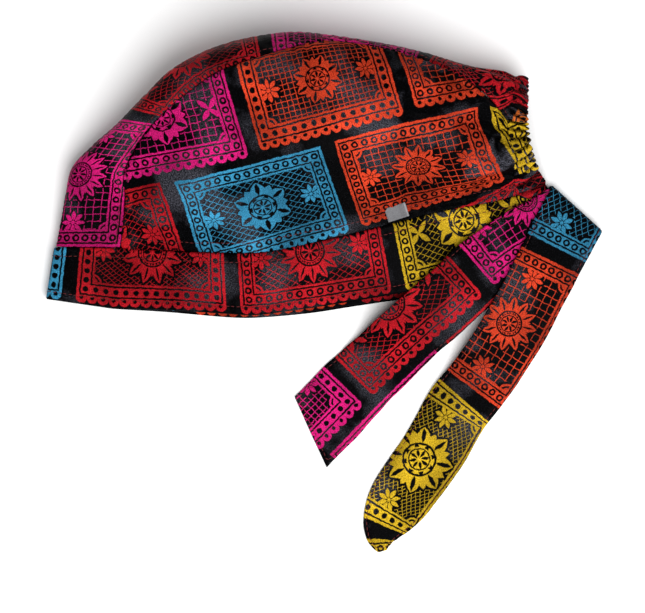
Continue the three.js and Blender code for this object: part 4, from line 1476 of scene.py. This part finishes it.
def print_group(look):
    """Printed tiles in staggered rows: blossoms in dotted frames with scalloped fringes."""
    tree, given, result = new_group(
        "framed_tile_print", [("Flat cloth", "Vector", None)],
        [("Ink", "Float", None), ("Colour", "Color", None)],
    )
    flower = flower_group()
    petals = lambda *values: Wire(tree, place_group(tree, flower, *values).outputs[0])
    half_width, half_height = (v / MM / 2 for v in (look.tile_width, look.tile_height))
    pitch_x, pitch_y = (2 * half + look.tile_gap / MM for half in (half_width, half_height))
    flat = Wire(tree, given.outputs["Flat cloth"])
    # Threads take the ink unevenly, so the print's edges wobble a little
    wobbles = parts(tree, "ShaderNodeSeparateColor", noise(tree, flat, 420.0, 1.0, "Color"), 2)
    u, v = (side + (wobble - 0.5) * 0.9 for side, wobble in zip(in_millimetres(tree, flat), wobbles))
    row = (v / pitch_y).math("FLOOR")
    across = u / pitch_x + row * 0.44
    column = across.math("FLOOR")
    x0 = (across - column - 0.5) * pitch_x
    y0 = (v / pitch_y - row - 0.5) * pitch_y
    cell = add_node(tree, "ShaderNodeCombineXYZ", X=column, Y=row, Z=float(look.seed))
    chance = add_node(
        tree, "ShaderNodeTexWhiteNoise", {"noise_dimensions": "3D"}, Vector=Wire(tree, cell.outputs[0])
    )
    first, second, third = parts(
        tree, "ShaderNodeSeparateColor", Wire(tree, chance.outputs["Color"]), 3
    )
    tilt = (first - 0.5) * 0.05
    x = x0 + y0 * tilt
    y = y0 - x0 * tilt
    ax, ay = abs(x), abs(y)
    # Outline with a fringe of round tabs below, each with a hole
    edge = (ax - half_width).most(ay - half_height)
    tab = hypot(x.from_cell(whole_pitch(2 * half_width, 6.0)), y + half_height)
    tile = edge.least((tab - 3.0).most(ax - half_width))
    # Frame: two thin lines with a row of dots or rings between them, one at each corner
    on_side = (ax - half_width).math("GREATER_THAN", ay - half_height)
    along = x + (y - x) * on_side
    dots_in = 4.9
    pitch = [corner_pitch(half - dots_in, 5.4) for half in (half_width, half_height)]
    dot_pitch = (on_side * (pitch[1] - pitch[0])) + pitch[0]
    ringed = second.math("GREATER_THAN", 0.45)
    dot = hypot(along.from_cell(dot_pitch), edge + dots_in)
    dots = abs(dot - ringed * 1.45) - 1.6 + ringed * 1.0
    lines = (abs(edge + 2.0).least(abs(edge + 7.8))) - 0.5
    cut = dots.least(lines).least(tab - 1.15)
    window = edge + 9.4
    # Blossom in the window, larger on some tiles
    scale = first * 0.34 + 0.86
    radius = hypot(x, y) / scale
    angle = y.math("ARCTAN2", x)
    count = (third * 4.99).math("FLOOR") * 2 + 6
    pointed = third.math("GREATER_THAN", 0.5)
    long_out = pointed * 0.9 + 10.5
    big = petals(radius, angle, count, 0.0, long_out, 5.6, 24.0 / count + 0.4)
    small = petals(radius, angle, count, 0.5, 11.0 - pointed * 1.5, 3.4, 12.0 / count + 0.2)
    vein = petals(radius, angle, count, 0.0, 11.8, 3.8, 8.0 / count)
    heart = petals(radius, angle, 8.0, 0.5, 3.0, 2.0, 0.75)
    disc = radius - 5.9
    rings = abs(radius - 5.0) - 0.35
    halo = abs(radius - 7.6) - 0.5
    blossom = big.least(small).least(disc).most(-(vein.least(heart).least(rings).least(halo)))
    # Smaller flowers or pairs of leaves at the sides, and fans in the corners
    bx = ax - (half_width - 13.6)
    spot = hypot(bx, y)
    side_angle = y.math("ARCTAN2", bx)
    blooms = petals(spot, side_angle, 8.0, 0.5, 3.9, 2.8, 1.15)
    leaves = petals(spot, side_angle, 4.0, 0.0, 4.3, 4.2, 1.5)
    leafy = second.math("GREATER_THAN", 0.7)
    side = (blooms + (leaves - blooms) * leafy).least(spot - 1.0)
    far_corner = hypot(ax - (half_width - 8.8), ay - (half_height - 8.8))
    corner = (far_corner - 2.6).least(abs(far_corner - 4.3) - 0.55)
    figures = blossom.least(side).least(corner)
    # Lattice behind them, square or slanting, coarse or fine
    slanting = first.math("GREATER_THAN", 0.4)
    p = x + (y - x * 0.3) * slanting
    q = y - (x - y * 0.3) * slanting
    step = ringed * 1.2 + 3.1
    lattice = (p.from_cell(step).least(q.from_cell(step)) - 0.2).most(1.5 - figures)
    inside = figures.least(lattice).most(window)
    printed = tile.most(-(cut.least(window))).least(inside)
    ink = (0.5 - printed / 0.3).clamped()
    join(tree, ink, result.inputs["Ink"])
    # Each tile has one ink, deeper in some places than in others
    ramp = add_node(tree, "ShaderNodeValToRGB", Fac=Wire(tree, chance.outputs["Value"]))
    ramp.color_ramp.interpolation = "CONSTANT"
    inks = [look.orange_red, look.magenta, look.blue, look.crimson, look.orange, look.yellow]
    elements = ramp.color_ramp.elements
    while len(elements) < len(inks):
        elements.new(1.0)
    for place, colour in enumerate(inks):
        elements[place].position = place / len(inks)
        elements[place].color = (*colour, 1.0)
    depth = wire(
        tree, "ShaderNodeMapRange", Value=noise(tree, flat, 34.0, 2.0),
        From_Min=0.3, From_Max=0.7, To_Min=0.5, To_Max=1.1,
    )
    shade = wire(
        tree, "ShaderNodeHueSaturation", Color=Wire(tree, ramp.outputs[0]), Value=depth, Saturation=1.0
    )
    join(tree, shade, result.inputs["Colour"])
    return tree


def weave_group():
    """Plain weave of fine threads: its height, and how much light its threads catch."""
    tree, given, result = new_group(
        "plain_weave",
        [("Flat cloth", "Vector", None), ("Thread pitch", "Float", 0.42)],
        [("Height", "Float", None), ("Fleck", "Float", None)],
    )
    flat, pitch = (Wire(tree, given.outputs[k]) for k in range(2))
    u, v = in_millimetres(tree, flat)
    over = (u * math.pi / pitch).math("SINE") * (v * math.pi / pitch).math("SINE")
    fuzz = noise(tree, flat, 1500.0, 2.0)
    join(tree, over * 0.35 + fuzz, result.inputs["Height"])
    join(tree, fuzz + over * 0.18, result.inputs["Fleck"])
    return tree


# Colour that worn threads add to the black ground, and the grey of the sheen painted on it
LINT_AND_SHEEN_GREY = (0.043, 0.043, 0.054)


def cloth_material(name, groups, look, reverse):
    """Printed cotton, or its reverse, where the print shows through only faintly."""
    _, tree, shader = new_material(name, Specular_IOR_Level=0.014)
    flat = wire(tree, "ShaderNodeUVMap", 0, {"uv_map": "flat_cloth"})
    ink_node, weave_node = (place_group(tree, groups[kind], flat) for kind in ("print", "weave"))
    ink, fleck = Wire(tree, ink_node.outputs["Ink"]), Wire(tree, weave_node.outputs["Fleck"])
    raised = wire(tree, "ShaderNodeAttribute", "Fac", {"attribute_name": "raised"})
    # Pale patches on the black ground: random patches of wear and painted sheen, and painted sheen on the
    # crests of folds
    haze = noise(tree, flat, 30.0, 4.0)
    wear_and_painted_sheen = ((haze - 0.52) * 4.8 + raised * 0.28).clamped()
    # Painted light and shade on the folds: crests are painted a little paler and valleys painted darker, by
    # how raised each point is
    painted_fold_shade_and_light = (raised * 0.08).least(0.16).most(-0.72)
    lint = (fleck * 2.6 - 0.75).most(0.0)
    pale = (level + 2.0 * c for level, c in zip(LINT_AND_SHEEN_GREY, look.ground))
    lint_and_painted_sheen = (wear_and_painted_sheen * lint * 0.9 + (fleck - 0.62).most(0.0) * 0.4).clamped()
    bare = blend(tree, lint_and_painted_sheen, (*look.ground, 1), (*pale, 1))
    inked = ink * (0.24 if reverse else 0.96)
    mixed = blend(tree, inked, bare, Wire(tree, ink_node.outputs["Colour"]))
    flecked = wire(
        tree, "ShaderNodeHueSaturation", Color=mixed, Value=fleck * 2.2 - 0.12 + painted_fold_shade_and_light,
        Saturation=0.8 if reverse else 1.0,
    )
    join(tree, flecked, shader.inputs["Base Color"])
    join(tree, 0.42 - wear_and_painted_sheen * 0.04 + (fleck - 0.5) * 0.15, shader.inputs["Roughness"])
    height = Wire(tree, weave_node.outputs["Height"])
    bump = wire(tree, "ShaderNodeBump", Height=height, Distance=0.00016, Strength=0.35)
    join(tree, bump, shader.inputs["Normal"])


def finishes(look):
    """The cloth's materials, made once."""
    names = ("blossom_print_cotton", "blossom_print_reverse")
    if names[0] not in bpy.data.materials:
        groups = {"print": print_group(look), "weave": weave_group()}
        cloth_material(names[0], groups, look, False)
        cloth_material(names[1], groups, look, True)
    return [bpy.data.materials[n] for n in names]


# The tab's tape, and how far along it the folded edge comes
TAPE_WALL = 0.4
TAPE_RIB, TAPE_THREAD = 0.55, 0.4
TAPE_GREYS = ((0.06, 0.06, 0.065), (0.36, 0.36, 0.38))
TAB_FOLD_AT = 12.3


def tape_material():
    """Grey woven tape: ribs across it, with a painted highlight where it folds."""
    material, tree, shader = new_material("grey_tape", Roughness=0.75)
    flat = wire(tree, "ShaderNodeUVMap", 0, {"uv_map": "flat_cloth"})
    u, v = in_millimetres(tree, flat)
    ribs = abs((u * math.pi / TAPE_RIB).math("SINE"))
    threads = (v * math.pi / TAPE_THREAD).math("SINE") * (u * math.pi / TAPE_RIB).math("COSINE")
    tone = ribs * 0.12 + threads * 0.05 + noise(tree, flat, 900.0, 2.0) * 0.2
    # Painted highlight along the tape's folded edge
    painted_fold_highlight = ((2.7 - abs(u - TAB_FOLD_AT)) * 0.8).clamped()
    greys = [(*grey, 1) for grey in TAPE_GREYS]
    join(tree, blend(tree, tone + 0.06 + painted_fold_highlight * 0.6, *greys), shader.inputs["Base Color"])
    bump = wire(tree, "ShaderNodeBump", Height=ribs + threads * 0.6, Distance=0.00015, Strength=0.7)
    join(tree, bump, shader.inputs["Normal"])
    return material


# Operators

# The picture's size, the pixel of the local origin, and the scale it was measured at
IMAGE_WIDTH, IMAGE_HEIGHT = 645, 613
ORIGIN_PX = (300, 310)
MM_PER_PIXEL = 0.56
VIEW_HEIGHT = 20.0
FLOOR_REACH = 3000


def add_cloth(context, node, cloth, wall, sides=2):
    """The mesh of a cloth, which stands for the solid of its node."""
    obj = shell(node + "_cloth", cloth, wall, finishes(context.scene.scrub_cap_print)[:sides])
    join_frame(obj, [node])
    return obj


def add_stitches(context, node, lines, seed):
    """The stitches of a cloth, a piece of their own."""
    stitches(node + "_stitches", lines, context.scene.scrub_cap_stitches, seed)


class SCRUBCAP_OT_left_panel(bpy.types.Operator):
    """The large left side panel, uppermost as the cap lies"""

    bl_idname = "scrub_cap.left_panel"
    bl_label = "Left side panel"

    def execute(self, context):
        cap = context.scene.scrub_cap_cloth
        cloth = left_panel(cap)
        obj = add_cloth(context, "left_side_panel", cloth, cap.wall / MM)
        beyond_corner = slice(len(PANEL_CORNER_ROWS), None)
        line = level_line(cloth, cloth.from_band, PANEL_STITCH, cap.wall / MM, beyond_corner)
        add_stitches(context, "left_side_panel", [line], 1)
        return {"FINISHED"}


class SCRUBCAP_OT_right_panel(bpy.types.Operator):
    """The right side panel, underneath on the surface"""

    bl_idname = "scrub_cap.right_panel"
    bl_label = "Right side panel"

    def execute(self, context):
        cloth = right_panel()
        obj = add_cloth(context, "right_side_panel", cloth, context.scene.scrub_cap_cloth.wall / MM)
        return {"FINISHED"}


class SCRUBCAP_OT_centre_strip(bpy.types.Operator):
    """The strip from the brow over the crown to the back"""

    bl_idname = "scrub_cap.centre_strip"
    bl_label = "Centre strip"

    def execute(self, context):
        cap = context.scene.scrub_cap_cloth
        cloth = centre_strip(cap)
        obj = add_cloth(context, "centre_strip", cloth, cap.wall / MM)
        line = level_line(cloth, cloth.from_seam, STRIP_STITCH, cap.wall / MM)
        add_stitches(context, "centre_strip", [line], 2)
        return {"FINISHED"}


class SCRUBCAP_OT_brow_band(bpy.types.Operator):
    """The doubled band round the face and sides"""

    bl_idname = "scrub_cap.brow_band"
    bl_label = "Brow band"

    def execute(self, context):
        cap = context.scene.scrub_cap_cloth
        cloth = brow_band(cap)
        wall = cap.band_wall / MM
        walls = np.full(cloth.grid.shape[:2], wall)
        walls[:, cloth.own] = hem(cloth.from_bottom, 1.4, wall, 0.25)
        obj = add_cloth(context, "brow_band", cloth, walls, 1)
        shown = slice(0, cloth.near_rows + 12)
        x = cloth.grid[:, cloth.own, 0]
        lines = [
            level_line(cloth, cloth.from_top, BAND_TOP_STITCH, wall, shown),
            level_line(cloth, cloth.from_bottom, BAND_BOTTOM_STITCH, wall, shown),
        ]
        near = Cloth(cloth.grid[:cloth.near_rows], cloth.flat[:cloth.near_rows])
        near.own = cloth.own
        lines.append(
            level_line(near, x[:cloth.near_rows], BAND_JOIN_X, wall, slice(1, -2), turned=True)
        )
        add_stitches(context, "brow_band", lines, 3)
        return {"FINISHED"}


class SCRUBCAP_OT_back_casing(bpy.types.Operator):
    """The gathered casing of the back opening"""

    bl_idname = "scrub_cap.back_casing"
    bl_label = "Back casing"

    def execute(self, context):
        points, flat, raised = back_casing(context.scene.scrub_cap_cloth)
        finish = finishes(context.scene.scrub_cap_print)[0]
        obj = tube("back_casing_cloth", points, flat, raised, finish)
        join_frame(obj, ["back_casing"])
        length = Line(points.mean(axis=1)).length
        width = np.linalg.norm(points[:, 0] - points[:, points.shape[1] // 2], axis=-1).mean()
        return {"FINISHED"}


class SCRUBCAP_OT_ties(bpy.types.Operator):
    """The two ties, folded over at the back corner"""

    bl_idname = "scrub_cap.ties"
    bl_label = "Ties"

    def execute(self, context):
        cap = context.scene.scrub_cap_cloth
        wall = cap.tie_wall / MM
        for node, tie, seed in (
            ("left_tie", LEFT_TIE, cap.seed + 7), ("right_tie", RIGHT_TIE, cap.seed + 8)
        ):
            cloth = tie_cloth(tie, seed)
            walls = hem(cloth.from_edge, 1.1, wall, 0.3)
            obj = add_cloth(context, node, cloth, walls, 1)
            add_stitches(context, node, [tie_edge_line(cloth, walls.max())], seed)
        return {"FINISHED"}


class SCRUBCAP_OT_side_tab(bpy.types.Operator):
    """The blank tab of folded tape"""

    bl_idname = "scrub_cap.side_tab"
    bl_label = "Side tab"

    def execute(self, context):
        cloth = side_tab(bpy.data.objects["left_side_panel_cloth"])
        obj = shell("side_tab_tape", cloth, TAPE_WALL, [tape_material()])
        join_frame(obj, ["side_tab"])
        return {"FINISHED"}


class SCRUBCAP_OT_stage(bpy.types.Operator):
    """Floor, lights and the camera straight above"""

    bl_idname = "scrub_cap.stage"
    bl_label = "Floor, lights and camera"

    def execute(self, context):
        look = context.scene.scrub_cap_stage
        scene = context.scene
        corners = np.array([[-1, -1, 0], [1, -1, 0], [1, 1, 0], [-1, 1, 0]], float)
        floor = new_object("floor", corners * FLOOR_REACH, np.array([[0, 1, 2, 3]]))
        material, _, _ = new_material("pale_floor", Base_Color=(*look.floor, 1), Roughness=0.9)
        floor.data.materials.append(material)
        world = bpy.data.worlds.new("studio")
        world.use_nodes = True
        background = world.node_tree.nodes["Background"]
        background.inputs["Color"].default_value = (1, 1, 1, 1)
        background.inputs["Strength"].default_value = look.sky
        scene.world = world
        for name, place, size, power in (
            ("key", (0.42, -0.64, 1.26), 1.7, look.key_power),
            ("fill", (-1.0, 0.7, 1.0), 0.8, look.fill_power),
        ):
            light = bpy.data.lights.new(name, "AREA")
            light.energy = power
            light.shape = "DISK"
            light.size = size
            lamp = bpy.data.objects.new(name, light)
            scene.collection.objects.link(lamp)
            lamp.location = place
            lamp.rotation_euler = (-lamp.location).to_track_quat("-Z", "Y").to_euler()
        data = bpy.data.cameras.new("camera")
        data.lens = look.lens
        data.sensor_width = 36.0
        width = IMAGE_WIDTH * MM_PER_PIXEL * MM
        camera = bpy.data.objects.new("camera", data)
        scene.collection.objects.link(camera)
        middle = (
            (IMAGE_WIDTH / 2 - ORIGIN_PX[0]) * MM_PER_PIXEL * MM + SHIFT[0],
            (ORIGIN_PX[1] - IMAGE_HEIGHT / 2) * MM_PER_PIXEL * MM + SHIFT[1],
        )
        camera.location = (*middle, width * look.lens / data.sensor_width + VIEW_HEIGHT * MM)
        data.clip_end = 20.0
        scene.camera = camera
        scene.view_settings.view_transform = "Standard"
        return {"FINISHED"}


class SCRUBCAP_PT_panel(bpy.types.Panel):
    """Builds the scrub cap piece by piece"""

    bl_label = "Scrub cap"
    bl_idname = "SCRUBCAP_PT_panel"
    bl_space_type = "VIEW_3D"
    bl_region_type = "UI"
    bl_category = "Scrub cap"

    def draw(self, context):
        for operator in OPERATORS:
            self.layout.operator(operator.bl_idname)
        for name in SETTINGS:
            settings = getattr(context.scene, name)
            box = self.layout.box()
            for key in settings.__annotations__:
                box.prop(settings, key)


OPERATORS = (
    SCRUBCAP_OT_stage,
    SCRUBCAP_OT_right_panel,
    SCRUBCAP_OT_left_panel,
    SCRUBCAP_OT_centre_strip,
    SCRUBCAP_OT_brow_band,
    SCRUBCAP_OT_back_casing,
    SCRUBCAP_OT_ties,
    SCRUBCAP_OT_side_tab,
)
SETTINGS = {
    "scrub_cap_cloth": CapClothSizes,
    "scrub_cap_print": CapPrintLook,
    "scrub_cap_stitches": CapStitchSizes,
    "scrub_cap_stage": CapStageLook,
}


def register():
    for kind in (*SETTINGS.values(), *OPERATORS, SCRUBCAP_PT_panel):
        bpy.utils.register_class(kind)
    for name, kind in SETTINGS.items():
        setattr(bpy.types.Scene, name, PointerProperty(type=kind))


def unregister():
    for name in SETTINGS:
        delattr(bpy.types.Scene, name)
    for kind in (SCRUBCAP_PT_panel, *reversed(OPERATORS), *SETTINGS.values()):
        bpy.utils.unregister_class(kind)


def main():
    register()
    for operator in OPERATORS:
        getattr(bpy.ops.scrub_cap, operator.bl_idname.split(".")[1])()


if __name__ == "__main__":
    main()
